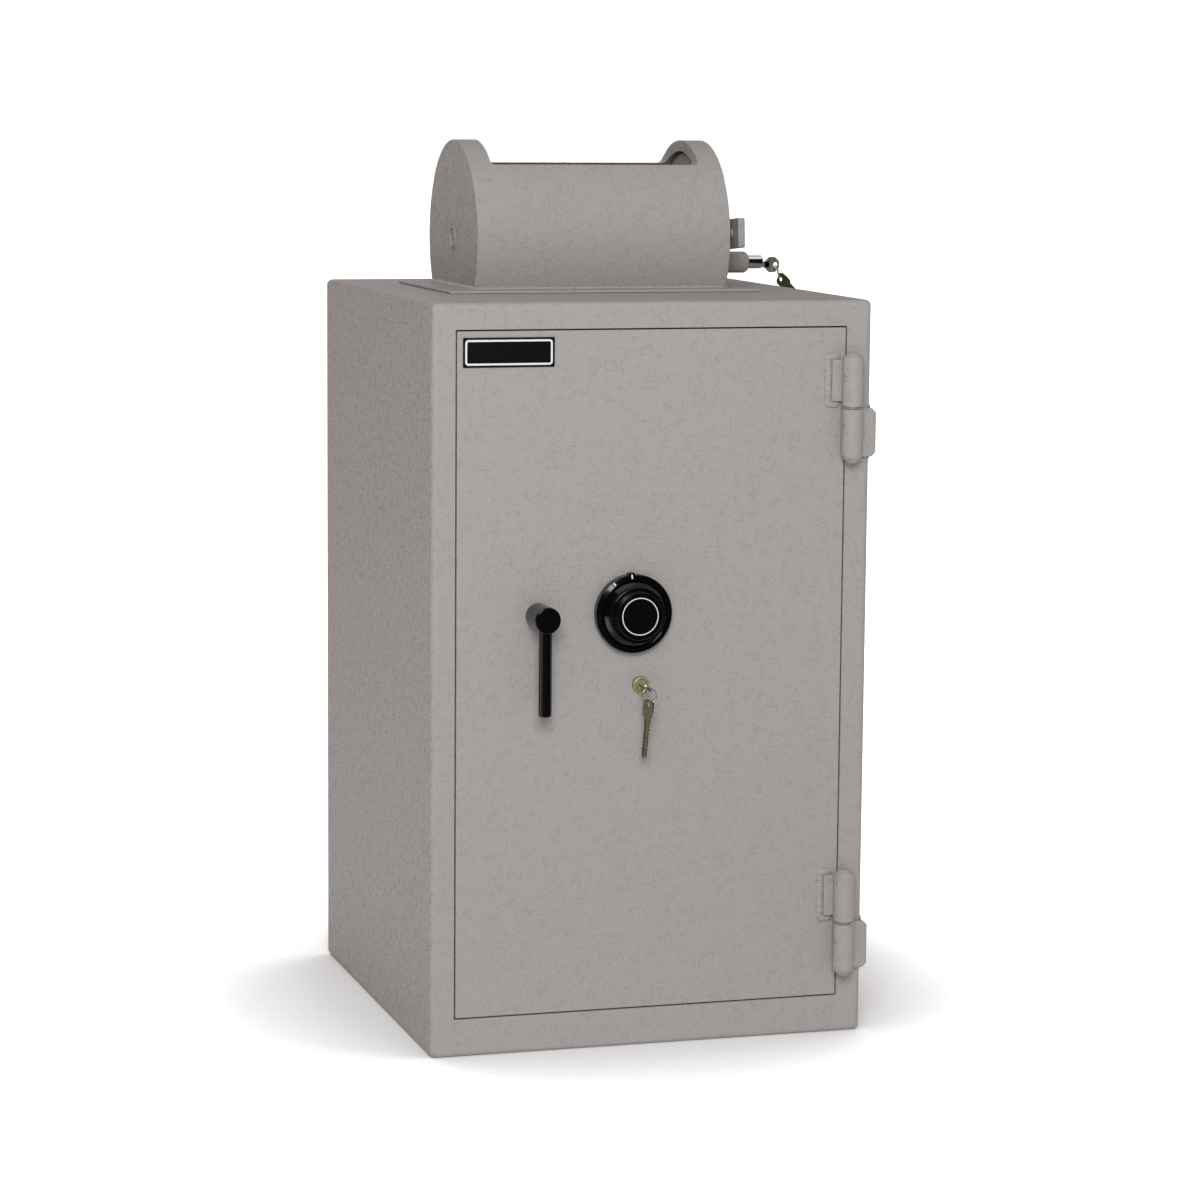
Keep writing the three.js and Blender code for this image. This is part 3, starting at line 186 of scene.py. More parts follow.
# Crinkled polyester powder coat, warm grey. Its matt ridges stand 2.6 mm apart, and shallow valleys, 1 mm
# wide and up to 8 mm long, run between them. Its colour follows that relief: it varies at random with the
# grain and darkens in the valleys, which is painted shade. The coat is thicker on faces towards the left and
# right, and there the painted shade in its crinkle is stronger, as where light grazes it.
wrinkle_paint, tree, principled = finish("wrinkle_powder_coat", Roughness=0.62, IOR=1.5)
coordinates = add(tree, "ShaderNodeTexCoord")
place = coordinates.outputs["Object"]
folds = add(tree, "ShaderNodeTexNoise", {"Vector": place, "Scale": 150, "Detail": 2})
from_fold = add(tree, "ShaderNodeMath", {0: folds.outputs["Fac"], 1: 0.5}, operation="SUBTRACT")
beside = add(tree, "ShaderNodeMath", {0: from_fold.outputs[0]}, operation="ABSOLUTE")
fold = add(
    tree,
    "ShaderNodeMapRange",
    {"Value": beside.outputs[0], "From Max": 0.045, "To Min": 1, "To Max": 0},
)
gaps = add(tree, "ShaderNodeTexNoise", {"Vector": place, "Scale": 95, "Detail": 1})
shown = add(tree, "ShaderNodeMapRange", {"Value": gaps.outputs["Fac"], "From Min": 0.42, "From Max": 0.6})
valley = add(tree, "ShaderNodeMath", {0: fold.outputs[0], 1: shown.outputs[0]}, operation="MULTIPLY")
grain = add(tree, "ShaderNodeTexNoise", {"Vector": place, "Scale": 380, "Detail": 3})
height = add(
    tree,
    "ShaderNodeMath",
    {0: valley.outputs[0], 1: -0.4, 2: grain.outputs["Fac"]},
    operation="MULTIPLY_ADD",
)
facing = add(tree, "ShaderNodeSeparateXYZ", {"Vector": coordinates.outputs["Normal"]})
sideways = add(tree, "ShaderNodeMath", {0: facing.outputs["X"]}, operation="ABSOLUTE")
# Painted shade: how far the colour follows the height is 0.24 on faces to the front, back, top and bottom,
# and up to 1.3 on faces towards the left and right.
painted_shade_strength = add(
    tree,
    "ShaderNodeMapRange",
    {"Value": sideways.outputs[0], "From Min": 0.7, "From Max": 0.95, "To Min": 0.24, "To Max": 1.3},
)
raised = add(tree, "ShaderNodeMath", {0: height.outputs[0], 1: 0.43}, operation="SUBTRACT")
painted_shade = add(
    tree,
    "ShaderNodeMath",
    {0: raised.outputs[0], 1: painted_shade_strength.outputs[0], 2: 1},
    operation="MULTIPLY_ADD",
)
# The coat's own warm grey, times the painted shade.
tone = add(
    tree,
    "ShaderNodeVectorMath",
    {0: linear("A5A19E")[:3], "Scale": painted_shade.outputs[0]},
    operation="SCALE",
)
tree.links.new(tone.outputs[0], principled.inputs["Base Color"])
bump = add(tree, "ShaderNodeBump", {"Height": height.outputs[0], "Strength": 0.8, "Distance": 0.0008})
tree.links.new(bump.outputs["Normal"], principled.inputs["Normal"])

HALF_WIDTH = 242.25
HEIGHT = 800
FRONT = -250
BACK = 250
FRAME_BACK = -237.3
WALL = 6.35
outer = rectangle(-HALF_WIDTH, HALF_WIDTH, 0, HEIGHT)
opening = rectangle(-216.85, 214.35, 40.8, 772.2)
inside = rectangle(WALL - HALF_WIDTH, HALF_WIDTH - WALL, WALL, HEIGHT - WALL)
inwards = np.array([(1, 1), (-1, 1), (-1, -1), (1, -1)])
quarter = np.radians(np.linspace(0, 90, 7))
edge_inset = np.concatenate([5.5 * (1 - np.cos(quarter)), [7.5]])
edge_y = np.concatenate([FRONT + 5.5 * (1 - np.sin(quarter)), [FRONT]])
# Each row is a Y station, the four corners there and their radius: from the back, where the back plate is
# let in with a shallow weld groove, over the outside and the front edge, and through the opening to the
# inside.
rows = [
    (BACK, outer + 8.4 * inwards, 0.8),
    (249.3, outer + 7.2 * inwards, 0.8),
    (BACK, outer + 6.2 * inwards, 1.2),
    (BACK, outer + 1.2 * inwards, 5.3),
    (249.6, outer + 0.4 * inwards, 6.1),
    (248.8, outer, 6.5),
    (247, outer, 6.5),
    (-242, outer, 6.5),
    *[(y, outer + inset * inwards, max(6.5 - inset, 0.9)) for inset, y in zip(edge_inset, edge_y)],
    (FRONT, opening - 1 * inwards, 0.9),
    (FRONT, opening - 0.5 * inwards, 0.9),
    (-249.87, opening - 0.13 * inwards, 0.9),
    (-249.5, opening, 0.9),
    (-248.5, opening, 0.9),
    (FRAME_BACK, opening, 0.9),
    (FRAME_BACK, inside, 1.2),
    (BACK - WALL, inside, 1.2),
]
rings = [np.insert(rounded(corners, radius), 1, y, axis=1) for y, corners, radius in rows]


def block(left, right, front, back, low, high):
    """A plain box, as a cutting tool."""
    ring = rectangle(left, right, front, back)
    return skin(np.stack([np.insert(ring, 2, height, axis=1) for height in (low, high)]))


cabinet = carve(skin(np.stack(rings)), block(-142.1, 148.7, -37.65, 147.65, 780, 820))
piece(
    "cabinet_shell",
    [(cabinet, wrinkle_paint)],
    "cabinet",
    ["body_wrap", "front_frame", "back_plate"],
)


# Carried-over pieces
# Pieces behind the door and inside the hopper keep their CAD shape. A modifier merges their loose triangles
# and shades their round faces smooth.
smoothed = bpy.data.node_groups.new("smooth_by_angle", "GeometryNodeTree")
smoothed.interface.new_socket("Mesh", in_out="INPUT", socket_type="NodeSocketGeometry")
smoothed.interface.new_socket("Mesh", in_out="OUTPUT", socket_type="NodeSocketGeometry")
source = add(smoothed, "NodeGroupInput")
merged = add(
    smoothed,
    "GeometryNodeMergeByDistance",
    {"Geometry": source.outputs[0], "Distance": 0.000005},
)
faces_smooth = add(smoothed, "GeometryNodeSetShadeSmooth", {"Geometry": merged.outputs[0]})
edge_angle = add(smoothed, "GeometryNodeInputMeshEdgeAngle")
is_soft = add(
    smoothed,
    "FunctionNodeCompare",
    {0: edge_angle.outputs["Unsigned Angle"], 1: SOFT_EDGE},
    operation="LESS_THAN",
)
edges_smooth = add(
    smoothed,
    "GeometryNodeSetShadeSmooth",
    {"Geometry": faces_smooth.outputs[0], "Shade Smooth": is_soft.outputs[0]},
    domain="EDGE",
)
add(smoothed, "NodeGroupOutput", {0: edges_smooth.outputs[0]})


def keep(names, material):
    """Gives these CAD nodes the material and smooth round faces."""
    for name in names:
        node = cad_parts[name]
        node.data.materials.clear()
        node.data.materials.append(material)
        node.modifiers.new("smooth", "NODES").node_group = smoothed


# Door stops
# Two flat steel bars welded behind the frame's top and bottom borders. They are painted with the cabinet.
keep(["door_stop_top", "door_stop_bottom"], wrinkle_paint)


# Hinges
# Weld-on lift-off hinges: a turned barrel in two halves with a steel leaf on each, a loose pin and a bright
# washer between them. Weld beads run round the leaves, and all but the washer is painted.
def turned(corners, radius, closed=False, columns=64, steps=6):
    """A lathe shape: the outline of (distance from axis, station) corners, rounded, goes round the w axis."""
    profile = rounded(corners, radius, steps)
    turn = np.linspace(0, 2 * np.pi, columns, endpoint=False)
    reach = profile[:, :1]
    station = np.broadcast_to(profile[:, 1:], (len(profile), columns))
    return skin(np.stack([reach * np.cos(turn), reach * np.sin(turn), station], -1), closed)


def stand(shape, at=(0, 0, 0), u=(1, 0, 0), v=(0, 0, 1), w=(0, 1, 0)):
    """Puts a shape in the room: at + u, v and w times its own three coordinates. Without them w runs back."""
    points, faces = shape
    return np.asarray(at, float) + points @ np.array([u, v, w], float), faces


FLAT = {"v": (0, 1, 0), "w": (0, 0, 1)}
LEVEL = {"u": (0, 1, 0), "v": (0, 0, 1), "w": (1, 0, 0)}


def plate(outline, low, high, edge, steps=4):
    """A flat plate of counterclockwise outline (n, 2) from low to high. Near each face the outline moves in
    by edge * (1 - sin t) while its height moves by edge * (1 - cos t), for t from 0 to 90 degrees."""
    outline = outline[np.linalg.norm(outline - np.roll(outline, 1, axis=0), axis=1) > 1e-5]
    before = outline - np.roll(outline, 1, axis=0)
    before /= np.linalg.norm(before, axis=1, keepdims=True)
    normal = np.stack([-before[:, 1], before[:, 0]], 1)
    following = np.roll(normal, -1, axis=0)
    miter = (normal + following) / (1 + (normal * following).sum(1, keepdims=True))
    turn = np.linspace(0, np.pi / 2, steps)
    inset = np.concatenate([[1.6 * edge], edge * (1 - np.sin(turn))])
    rise = np.concatenate([[0], edge * (1 - np.cos(turn))])
    inset = np.concatenate([inset, inset[::-1]])
    height = np.concatenate([low + rise, high - rise[::-1]])
    ring = outline + inset[:, None, None] * miter
    height = np.broadcast_to(height[:, None, None], (*ring.shape[:2], 1))
    return skin(np.concatenate([ring, height], -1))


def bead(path, normal, width, height, seed):
    """A weld bead on the open path (n, 3): half an ellipse of that width and height on the surface with that
    normal. Its size swells by a tenth every 2.4 mm, where one ripple of weld metal overlaps the next."""
    step = np.linalg.norm(np.diff(path, axis=0), axis=1)
    length = np.concatenate([[0], np.cumsum(step)])
    along = np.linspace(0, length[-1], max(int(length[-1]), 8))
    line = np.stack([np.interp(along, length, path[:, i]) for i in range(3)], 1)
    line = np.stack([np.convolve(np.pad(c, 2, mode="edge"), np.ones(5) / 5, "valid") for c in line.T], 1)
    tangent = np.gradient(line, axis=0)
    tangent /= np.linalg.norm(tangent, axis=1, keepdims=True)
    side = np.cross(tangent, normal)
    wander = np.random.default_rng(seed).normal(0, 0.05, len(along))
    wander = np.convolve(np.pad(wander, 2, mode="edge"), np.ones(5) / 5, "valid")
    swell = 1 + 0.1 * np.sin(2 * np.pi * along / 2.4) + 2 * wander
    taper = np.sqrt(np.clip(np.minimum(along, length[-1] - along) / (0.6 * width), 0.02, 1))
    size = (swell * taper)[:, None, None]
    turn = np.linspace(-0.35, np.pi + 0.35, 12)[None, :, None]
    grid = (
        line[:, None]
        + size * width / 2 * np.cos(turn) * side[:, None]
        + size * height * np.sin(turn) * np.asarray(normal, float)
    )
    return skin(grid)


def follow(tree, principled, pattern, colours=None, roughness=None, relief=None):
    """The pattern, from 0 to 1, takes the colour and the roughness from their first to their second value,
    and it is the height of a relief of that strength and distance in metres."""
    fac = pattern.outputs["Fac"]
    if colours:
        low, high = map(linear, colours)
        tone = add(tree, "ShaderNodeMixRGB", {"Fac": fac, "Color1": low, "Color2": high})
        tree.links.new(tone.outputs[0], principled.inputs["Base Color"])
    if roughness:
        low, high = roughness
        gloss = add(tree, "ShaderNodeMapRange", {"Value": fac, "To Min": low, "To Max": high})
        tree.links.new(gloss.outputs[0], principled.inputs["Roughness"])
    if relief:
        strength, distance = relief
        bump = add(tree, "ShaderNodeBump", {"Height": fac, "Strength": strength, "Distance": distance})
        tree.links.new(bump.outputs["Normal"], principled.inputs["Normal"])


# Zinc-plated steel, bright and slightly blue, with faint clouds left by the bath.
zinc, tree, principled = finish("zinc_plated_steel", Metallic=0.55)
place = add(tree, "ShaderNodeTexCoord").outputs["Object"]
clouds = add(tree, "ShaderNodeTexNoise", {"Vector": place, "Scale": 45, "Detail": 4})
follow(tree, principled, clouds, ("8F9294", "B4B2AA"), (0.28, 0.46))

# Cold-drawn bar steel: grey, oiled, with fine draw lines along the bar that are 0.5 mm apart.
bare_steel, tree, principled = finish("cold_drawn_steel", Metallic=0.5)
place = add(tree, "ShaderNodeTexCoord").outputs["Object"]
stretch = add(tree, "ShaderNodeMapping", {"Vector": place, "Scale": (2000, 2000, 60)})
lines = add(tree, "ShaderNodeTexNoise", {"Vector": stretch.outputs[0], "Scale": 1, "Detail": 3})
follow(tree, principled, lines, ("7C7D7E", "A3A4A4"), (0.32, 0.5), (0.2, 0.0001))

HINGE_X, HINGE_Y = 217.15, -262.5
BARREL, PIN = 11.2, 6.35
for place_name, base in (("top", 626.2), ("bottom", 65.4)):
    barrel = turned(
        [(0, 0), (4.6, 0), (BARREL, 7), (BARREL, 58), (PIN, 58), (PIN, 8), (0, 8)],
        [0, 3, 7, 0.5, 0.3, 0, 0],
    )
    leaf_outline = rounded(
        [
            (222, -255.3),
            (247.95, -255.3),
            (247.95, -225),
            (242.55, -225),
            (242.55, -250.3),
            (222, -250.3),
        ],
        [0, 3.5, 1.1, 1.1, 0.5, 0],
    )
    leaf = plate(leaf_outline, base + 6, base + 58, 0.6)
    low_wedge = np.array([(241, base + 4.5), (250, base + 4.5), (250, base + 13.5)])
    high_wedge = np.array([(250, base + 50.5), (250, base + 59.5), (241, base + 59.5)])
    leaf = carve(
        stand(leaf, **FLAT),
        stand(plate(low_wedge, -262, -220, 0.01)),
        stand(plate(high_wedge, -262, -220, 0.01)),
    )
    side_path = np.array(
        [
            (242.3, -247, base + 58.5),
            (242.3, -230, base + 58.5),
            (242.3, -224.5, base + 50),
            (242.3, -224.5, base + 14),
            (242.3, -230, base + 5.5),
            (242.3, -247, base + 5.5),
        ]
    )
    piece(
        f"hinge_lower_{place_name}",
        [
            (stand(barrel, (HINGE_X, HINGE_Y, base), **FLAT), wrinkle_paint),
            (leaf, wrinkle_paint),
            (bead(side_path, (1, 0, 0), 7, 2.4, seed=int(base)), wrinkle_paint),
        ],
        "cabinet",
        [f"hinge_lower_knuckle_{place_name}"],
    )
    washer = turned([(PIN, 58.3), (BARREL, 58.3), (BARREL, 60.7), (PIN, 60.7)], 0.6, closed=True)
    piece(
        f"hinge_ring_{place_name}",
        [(stand(washer, (HINGE_X, HINGE_Y, base), **FLAT), zinc)],
        "cabinet",
        [f"hinge_washer_{place_name}"],
    )
    barrel = turned(
        [(0, 110), (PIN, 110), (PIN, 61), (BARREL, 61), (BARREL, 113), (5.1, 118), (0, 118)],
        [0, 0, 0.3, 0.5, 1.2, 1.2, 0],
    )
    low, high = base + 66, base + 110.5
    leaf = plate(rounded(rectangle(196.65, 213, low, high), [1.6, 0, 0, 1.6]), -255.3, -250.3, 0.6)
    door_path = np.array(
        [
            (208, -250.2, high + 3),
            (193.5, -250.2, high + 3),
            (193.5, -250.2, low - 3),
            (208, -250.2, low - 3),
        ]
    )
    piece(
        f"hinge_upper_{place_name}",
        [
            (stand(barrel, (HINGE_X, HINGE_Y, base), **FLAT), wrinkle_paint),
            (stand(leaf), wrinkle_paint),
            (bead(door_path, (0, -1, 0), 8, 2.3, seed=int(base) + 1), wrinkle_paint),
        ],
        "door",
        [f"hinge_upper_knuckle_{place_name}"],
    )
keep(["hinge_pin_top", "hinge_pin_bottom"], bare_steel)


# Door
# One flush slab of half-inch plate, flame cut and ground, with its edges broken. It is bored for the
# lever's shaft, the dial's spindle and the key cylinder, and painted with the cabinet.
LEVER_X, LEVER_Z = -126.5, 470.8
DIAL_X, DIAL_Z = -23.6, 470.9
KEY_X, KEY_Z = -13.4, 393.5


def drill(radius, x, z):
    """A round cutting tool along Y, through the door."""
    return stand(turned([(0, -260), (radius, -260), (radius, -230), (0, -230)], 0), (x, 0, z))


DOOR_GAP = 1.6
slab = stand(plate(rounded(opening + DOOR_GAP * inwards, 1), FRONT, FRAME_BACK, 0.5))
slab = carve(
    slab,
    drill(6.7, LEVER_X, LEVER_Z),
    drill(6.47, DIAL_X, DIAL_Z),
    drill(9.1, KEY_X, KEY_Z),
)
piece("door_slab", [(slab, wrinkle_paint)], "door", ["door_plate"])


# Label plate
# A thin aluminium plate with square corners, anodised black with a satin sheen. A white line printed on it
# runs round inside the edge. It is glued to the door, and bare.
label_black, tree, principled = finish("black_anodised_aluminium", IOR=1.5)
place = add(tree, "ShaderNodeTexCoord").outputs["Object"]
stretch = add(tree, "ShaderNodeMapping", {"Vector": place, "Scale": (80, 80, 4000)})
lines = add(tree, "ShaderNodeTexNoise", {"Vector": stretch.outputs[0], "Scale": 1, "Detail": 2})
follow(tree, principled, lines, ("020202", "050506"), (0.28, 0.42))

# Screen-printed white ink: matt, with a trace of mottle 1 mm across.
white_ink, tree, principled = finish("white_screen_ink", Roughness=0.5)
place = add(tree, "ShaderNodeTexCoord").outputs["Object"]
mottle = add(tree, "ShaderNodeTexNoise", {"Vector": place, "Scale": 1000, "Detail": 1})
follow(tree, principled, mottle, ("DCDDDD", "F2F3F3"))

label_box = rectangle(-209.35, -110.65, 733, 764)
line_outer = rounded(label_box + 2.2 * inwards, 3.4)
line_inner = rounded(label_box + 4.3 * inwards, 1.6)
line = np.stack(
    [
        np.insert(ring, 1, y, axis=1)
        for ring, y in (
            (line_outer, -251.2),
            (line_outer, -251.36),
            (line_inner, -251.36),
            (line_inner, -251.2),
        )
    ]
)
piece(
    "label_plate_black",
    [
        (stand(plate(rounded(label_box, 0.8), -251.3, -250.3, 0.25)), label_black),
        (skin(line, closed=True), white_ink),
    ],
    "door",
    ["label_plate"],
)


# Lever handle
# A turned steel hub on the bolt shaft with a round rod pressed into it, stove enamelled gloss black. The
# enamel is smooth with a trace of orange peel.
black_enamel, tree, principled = finish(
    "stove_black_enamel", Base_Color=linear("080808"), IOR=1.45
)
place = add(tree, "ShaderNodeTexCoord").outputs["Object"]
peel = add(tree, "ShaderNodeTexNoise", {"Vector": place, "Scale": 420, "Detail": 2})
follow(tree, principled, peel, roughness=(0.06, 0.14), relief=(0.05, 0.0004))

hub = turned(
    [(0, -289), (14, -289), (14, -250.3), (6.65, -250.3), (6.65, -268.6), (0, -268.6)],
    [0, 1.8, 0.5, 0, 0, 0],
)
piece(
    "lever_boss",
    [(stand(hub, (LEVER_X, 0, LEVER_Z)), black_enamel)],
    "lever",
    ["lever_hub"],
)
rod = turned([(0, 367.3), (7, 367.3), (7, 479.8), (0, 479.8)], [0, 3, 0.3, 0])
piece(
    "lever_handle",
    [(stand(rod, (LEVER_X, -278, 0), **FLAT), black_enamel)],
    "lever",
    ["lever_rod"],
)

# Boltwork
# The lever's cam, the flat bolt bar with its three round bolts, their guide, the bar's shoulder screws
# and the fixed strip on the hinge side: cold-drawn steel, with the bolts and screws zinc plated.
keep(["lever_cam", "bolt_bar", "bolt_guide", "dead_bar"], bare_steel)
keep(["bolt_1", "bolt_2", "bolt_3", "bar_post_lower", "bar_post_upper"], zinc)


# Combination dial
# A fixed ring and a turning knob in three steps, both machined from die castings and enamelled gloss
# black. The ring's index line, its second mark and the circle on the knob's face are filled with white.
CROWN = 41.2


def out(distance):
    """Y of a place that far out from the door's face."""
    return FRONT - distance


def index_mark(angle, inner, outer, width):
    """A thin white bar on the ring's sloping crown, from the inner to the outer radius. The angle counts
    clockwise from the top."""
    turn = math.radians(angle)
    slope = math.atan2(1.5, 4.8)
    radial = np.array([math.sin(turn), 0, math.cos(turn)])
    tangent = np.array([math.cos(turn), 0, -math.sin(turn)])
    up = radial * math.cos(slope) + np.array([0, 1, 0]) * math.sin(slope)
    outwards = np.array([0, -1, 0]) * math.cos(slope) + radial * math.sin(slope)
    at = np.array([DIAL_X, out(10), DIAL_Z]) + CROWN * radial
    bar = plate(rectangle(-width / 2, width / 2, inner - CROWN, outer - CROWN), -0.3, 0.12, 0.05)
    return stand(bar, at, tangent, up, outwards)


ring = turned(
    [
        (14, out(0.3)),
        (14, out(6)),
        (35.2, out(6)),
        (35.2, out(11)),
        (36.4, out(11.5)),
        (CROWN, out(10)),
        (42, out(9.2)),
        (42, out(0.3)),
    ],
    [0.3, 0.3, 0.3, 0.4, 0.8, 0.8, 0.5, 0.3],
    closed=True,
    columns=128,
)
tab = plate(rounded(rectangle(-3.3, 3.3, 39.5, 43.8), [0, 0, 0.8, 0.8]), out(10), out(0.3), 0.4)
tab_line = plate(rectangle(-0.8, 0.8, 41.2, 42.2), out(10.12), out(9.8), 0.05)
tab_turn = math.radians(-4.5)
tab_across = (math.cos(tab_turn), 0, -math.sin(tab_turn))
tab_up = (math.sin(tab_turn), 0, math.cos(tab_turn))
piece(
    "dial_rim",
    [
        (stand(ring, (DIAL_X, 0, DIAL_Z)), black_enamel),
        (stand(tab, (DIAL_X, 0, DIAL_Z), tab_across, tab_up), black_enamel),
        (stand(tab_line, (DIAL_X, 0, DIAL_Z), tab_across, tab_up), white_ink),
        (index_mark(-4.5, 37.6, 41.3, 1.6), white_ink),
        (index_mark(-34.7, 37.4, 40.8, 1.6), white_ink),
    ],
    "door",
    ["dial_ring"],
)
knob = turned(
    [
        (0, out(31)),
        (25.5, out(31)),
        (25.5, out(25)),
        (30, out(24)),
        (30, out(17)),
        (34, out(12)),
        (34, out(6.8)),
        (4.32, out(6.8)),
        (4.32, out(19.8)),
        (0, out(19.8)),
    ],
    [0, 1.1, 0.5, 0.9, 1, 1, 0.4, 0, 0, 0],
    columns=128,
)
circle = turned(
    [(19, out(30.9)), (19, out(31.08)), (20, out(31.08)), (20, out(30.9))],
    0.04,
    closed=True,
    columns=96,
    steps=2,
)
piece(
    "dial_wheel",
    [
        (stand(knob, (DIAL_X, 0, DIAL_Z)), black_enamel),
        (stand(circle, (DIAL_X, 0, DIAL_Z)), white_ink),
    ],
    "dial",
    ["dial_knob"],
)


# Combination lock
# A die-cast zinc case with its cover, and on the spindle a brass drive cam and three brass wheels. The
# bolt is brass too, and the spindle steel.

# Die-cast zinc alloy: dull silver, with a fine cast grain under 1 mm.
cast_zinc, tree, principled = finish("die_cast_zinc", Metallic=0.45)
place = add(tree, "ShaderNodeTexCoord").outputs["Object"]
grain = add(tree, "ShaderNodeTexNoise", {"Vector": place, "Scale": 900, "Detail": 3})
follow(tree, principled, grain, ("8C8D8E", "ACADAD"), (0.42, 0.6), (0.3, 0.0002))

# Turned brass: yellow, with rings from the lathe tool and a little tarnish in soft patches.
brass, tree, principled = finish("turned_brass", Metallic=0.65)
place = add(tree, "ShaderNodeTexCoord").outputs["Object"]
centred = add(
    tree,
    "ShaderNodeMapping",
    {"Vector": place, "Location": (-KEY_X / 1000, 0, -KEY_Z / 1000), "Scale": (1, 0, 1)},
)
rings_wave = add(
    tree,
    "ShaderNodeTexWave",
    {"Vector": centred.outputs[0], "Scale": 500, "Distortion": 0.6},
    wave_type="RINGS",
    rings_direction="SPHERICAL",
)
patches = add(tree, "ShaderNodeTexNoise", {"Vector": place, "Scale": 260, "Detail": 3})
follow(tree, principled, patches, ("8C7E49", "F0E2AE"), (0.36, 0.58))
follow(tree, principled, rings_wave, relief=(0.15, 0.0001))

keep(["lock_case", "lock_cover", "key_lock_case"], cast_zinc)
keep(["wheel_1", "wheel_2", "wheel_3", "drive_cam", "lock_bolt"], brass)
keep(["spindle"], bare_steel)


# Key lock
# A turned brass cylinder through the door, with a bevelled rim and a brass plug that holds the key. Its
# case and bolt are inside.
cylinder = turned(
    [(6.25, -255), (6.25, FRAME_BACK), (8.8, FRAME_BACK), (8.8, -255)],
    [0.35, 0.2, 0.2, 0.9],
    closed=True,
)
piece(
    "key_barrel",
    [(stand(cylinder, (KEY_X, 0, KEY_Z)), brass)],
    "door",
    ["key_cylinder"],
)
keep(["key_plug", "key_lock_bolt"], brass)


# Door keys
# Flat keys stamped from nickel silver: a bow with a hole, a shoulder, and a blade with a milled groove on
# both faces and cuts along one edge. One is in the lock, and the spare hangs from it on a split ring.


# Nickel silver: greyish yellow, with scratches from use that run every way.
def nickel_silver(name, dark, light, roughness):
    material, tree, principled = finish(name, Metallic=1)
    place = add(tree, "ShaderNodeTexCoord").outputs["Object"]
    wear = add(tree, "ShaderNodeTexNoise", {"Vector": place, "Scale": 380, "Detail": 4})
    follow(tree, principled, wear, (dark, light), (roughness, roughness + 0.22), (0.15, 0.0001))
    return material


nickel = nickel_silver("nickel_silver", "B1AE9A", "DEDBCB", 0.28)
THICK = 1.9
HALF_BLADE = 3.5
HOLE_ALONG = 19.5


def flat_key(blade, half, cuts):
    """A key in its own plane, u across and v from the shoulder to the end of the bow. The blade runs down to
    -blade, its right edge is cut in by each of cuts, and the hole goes through the bow."""
    stations = np.linspace(-6, -blade + 8, len(cuts))
    flats = np.array([(1.1, 0), (0.5, 1), (-0.5, 1), (-1.1, 0)])
    edge = np.concatenate(
        [
            np.stack([half - depth * flats[:, 1], station + flats[:, 0]], 1)
            for depth, station in zip(cuts, stations)
        ]
    )
    corners = np.concatenate(
        [
            [(0, -blade), (half, -blade + half)],
            edge[::-1],
            [(half, 0), (4, 0), (4, 4.5), (6.6, 6.6), (7.5, 12), (7.5, 24.5)],
            [(-7.5, 24.5), (-7.5, 12), (-6.6, 6.6), (-4, 4.5), (-4, 0), (-half, 0)],
            [(-half, -blade + half)],
        ]
    )
    soft = np.concatenate(
        [[0.5, 0.4], np.full(len(edge), 0.3), [0.12, 0.2, 1.2, 2.5, 3, 5], [5, 3, 2.5, 1.2, 0.2, 0.12], [0.4]]
    )
    blank = plate(rounded(corners, soft, 5), -THICK / 2, THICK / 2, 0.12, steps=3)
    hole = turned(
        [(0, -3), (3.6, -3), (2.75, -THICK / 2 + 0.15), (2.75, THICK / 2 - 0.15), (3.6, 3), (0, 3)],
        0,
        columns=32,
    )
    groove = plate(rectangle(-0.25 * half - 0.9, -0.25 * half + 0.9, -blade - 1, 1.5), 0.45, 2, 0.05)
    lower = stand(groove, v=(0, 1, 0), w=(0, 0, -1))
    upper = stand(groove, **FLAT)
    return carve(
        blank,
        stand(hole, (0, HOLE_ALONG, 0), **FLAT),
        upper,
        lower,
    )


def in_plane(shape, at, across, lengthwise):
    """Puts a flat shape so that u runs across and v lengthwise, with its thickness square to both."""
    return stand(shape, at, across, lengthwise, np.cross(across, lengthwise))


turned_by = math.radians(-42)
key_across = np.array([math.cos(turned_by), 0, math.sin(turned_by)])
outwards = np.array([0, -1, 0])
shoulder_y = -255.3
blade_inside = 20.7
lock_key = flat_key(blade_inside, HALF_BLADE, (0.5, 0.9, 0.6))
piece(
    "door_key_cut",
    [(in_plane(lock_key, (KEY_X, shoulder_y, KEY_Z), key_across, outwards), nickel)],
    "door_lock_plug",
    ["door_key"],
)


# Split rings
# Two turns of hard spring wire, nickel plated, closed on each other. The wire goes through both keys'
# holes.

# Bright nickel plate, dulled a little by hair scratches.
ring_nickel, tree, principled = finish("bright_nickel_wire", Metallic=1)
place = add(tree, "ShaderNodeTexCoord").outputs["Object"]
hair = add(tree, "ShaderNodeTexNoise", {"Vector": place, "Scale": 900, "Detail": 2})
follow(tree, principled, hair, ("D2D1CD", "F2F1ED"), (0.22, 0.38))


def split_ring(radius, wire):
    """Two turns of round wire: the path is radius * (cos t, sin t) with a rise of one wire thickness a turn,
    and the wire's circle stands across it."""
    turn = np.linspace(0, 4 * np.pi, 160)
    rise = 2 * wire * (turn / (2 * np.pi) - 1)
    radial = np.stack([np.cos(turn), np.sin(turn), 0 * turn], 1)
    path = radius * radial + rise[:, None] * np.array([0, 0, 1])
    section = np.linspace(0, 2 * np.pi, 14, endpoint=False)[None, :, None]
    grid = path[:, None] + wire * (np.cos(section) * radial[:, None] + np.sin(section) * np.array([0, 0, 1]))
    return skin(grid)


RING_RADIUS = 8.15
WIRE = 0.45
hole_y = -274.8
ring_top = np.array([KEY_X, hole_y, KEY_Z]) + 0.6 * key_across
lean = math.radians(10)
ring_down = np.array([math.sin(lean), 0, -math.cos(lean)])
ring_tangent = np.array([math.cos(lean), 0, math.sin(lean)])
ring_centre = ring_top + RING_RADIUS * ring_down
piece(
    "door_split_ring",
    [(in_plane(split_ring(RING_RADIUS, WIRE), ring_centre, ring_tangent, ring_down), ring_nickel)],
    "door_key_ring",
    ["door_key_ring"],
)


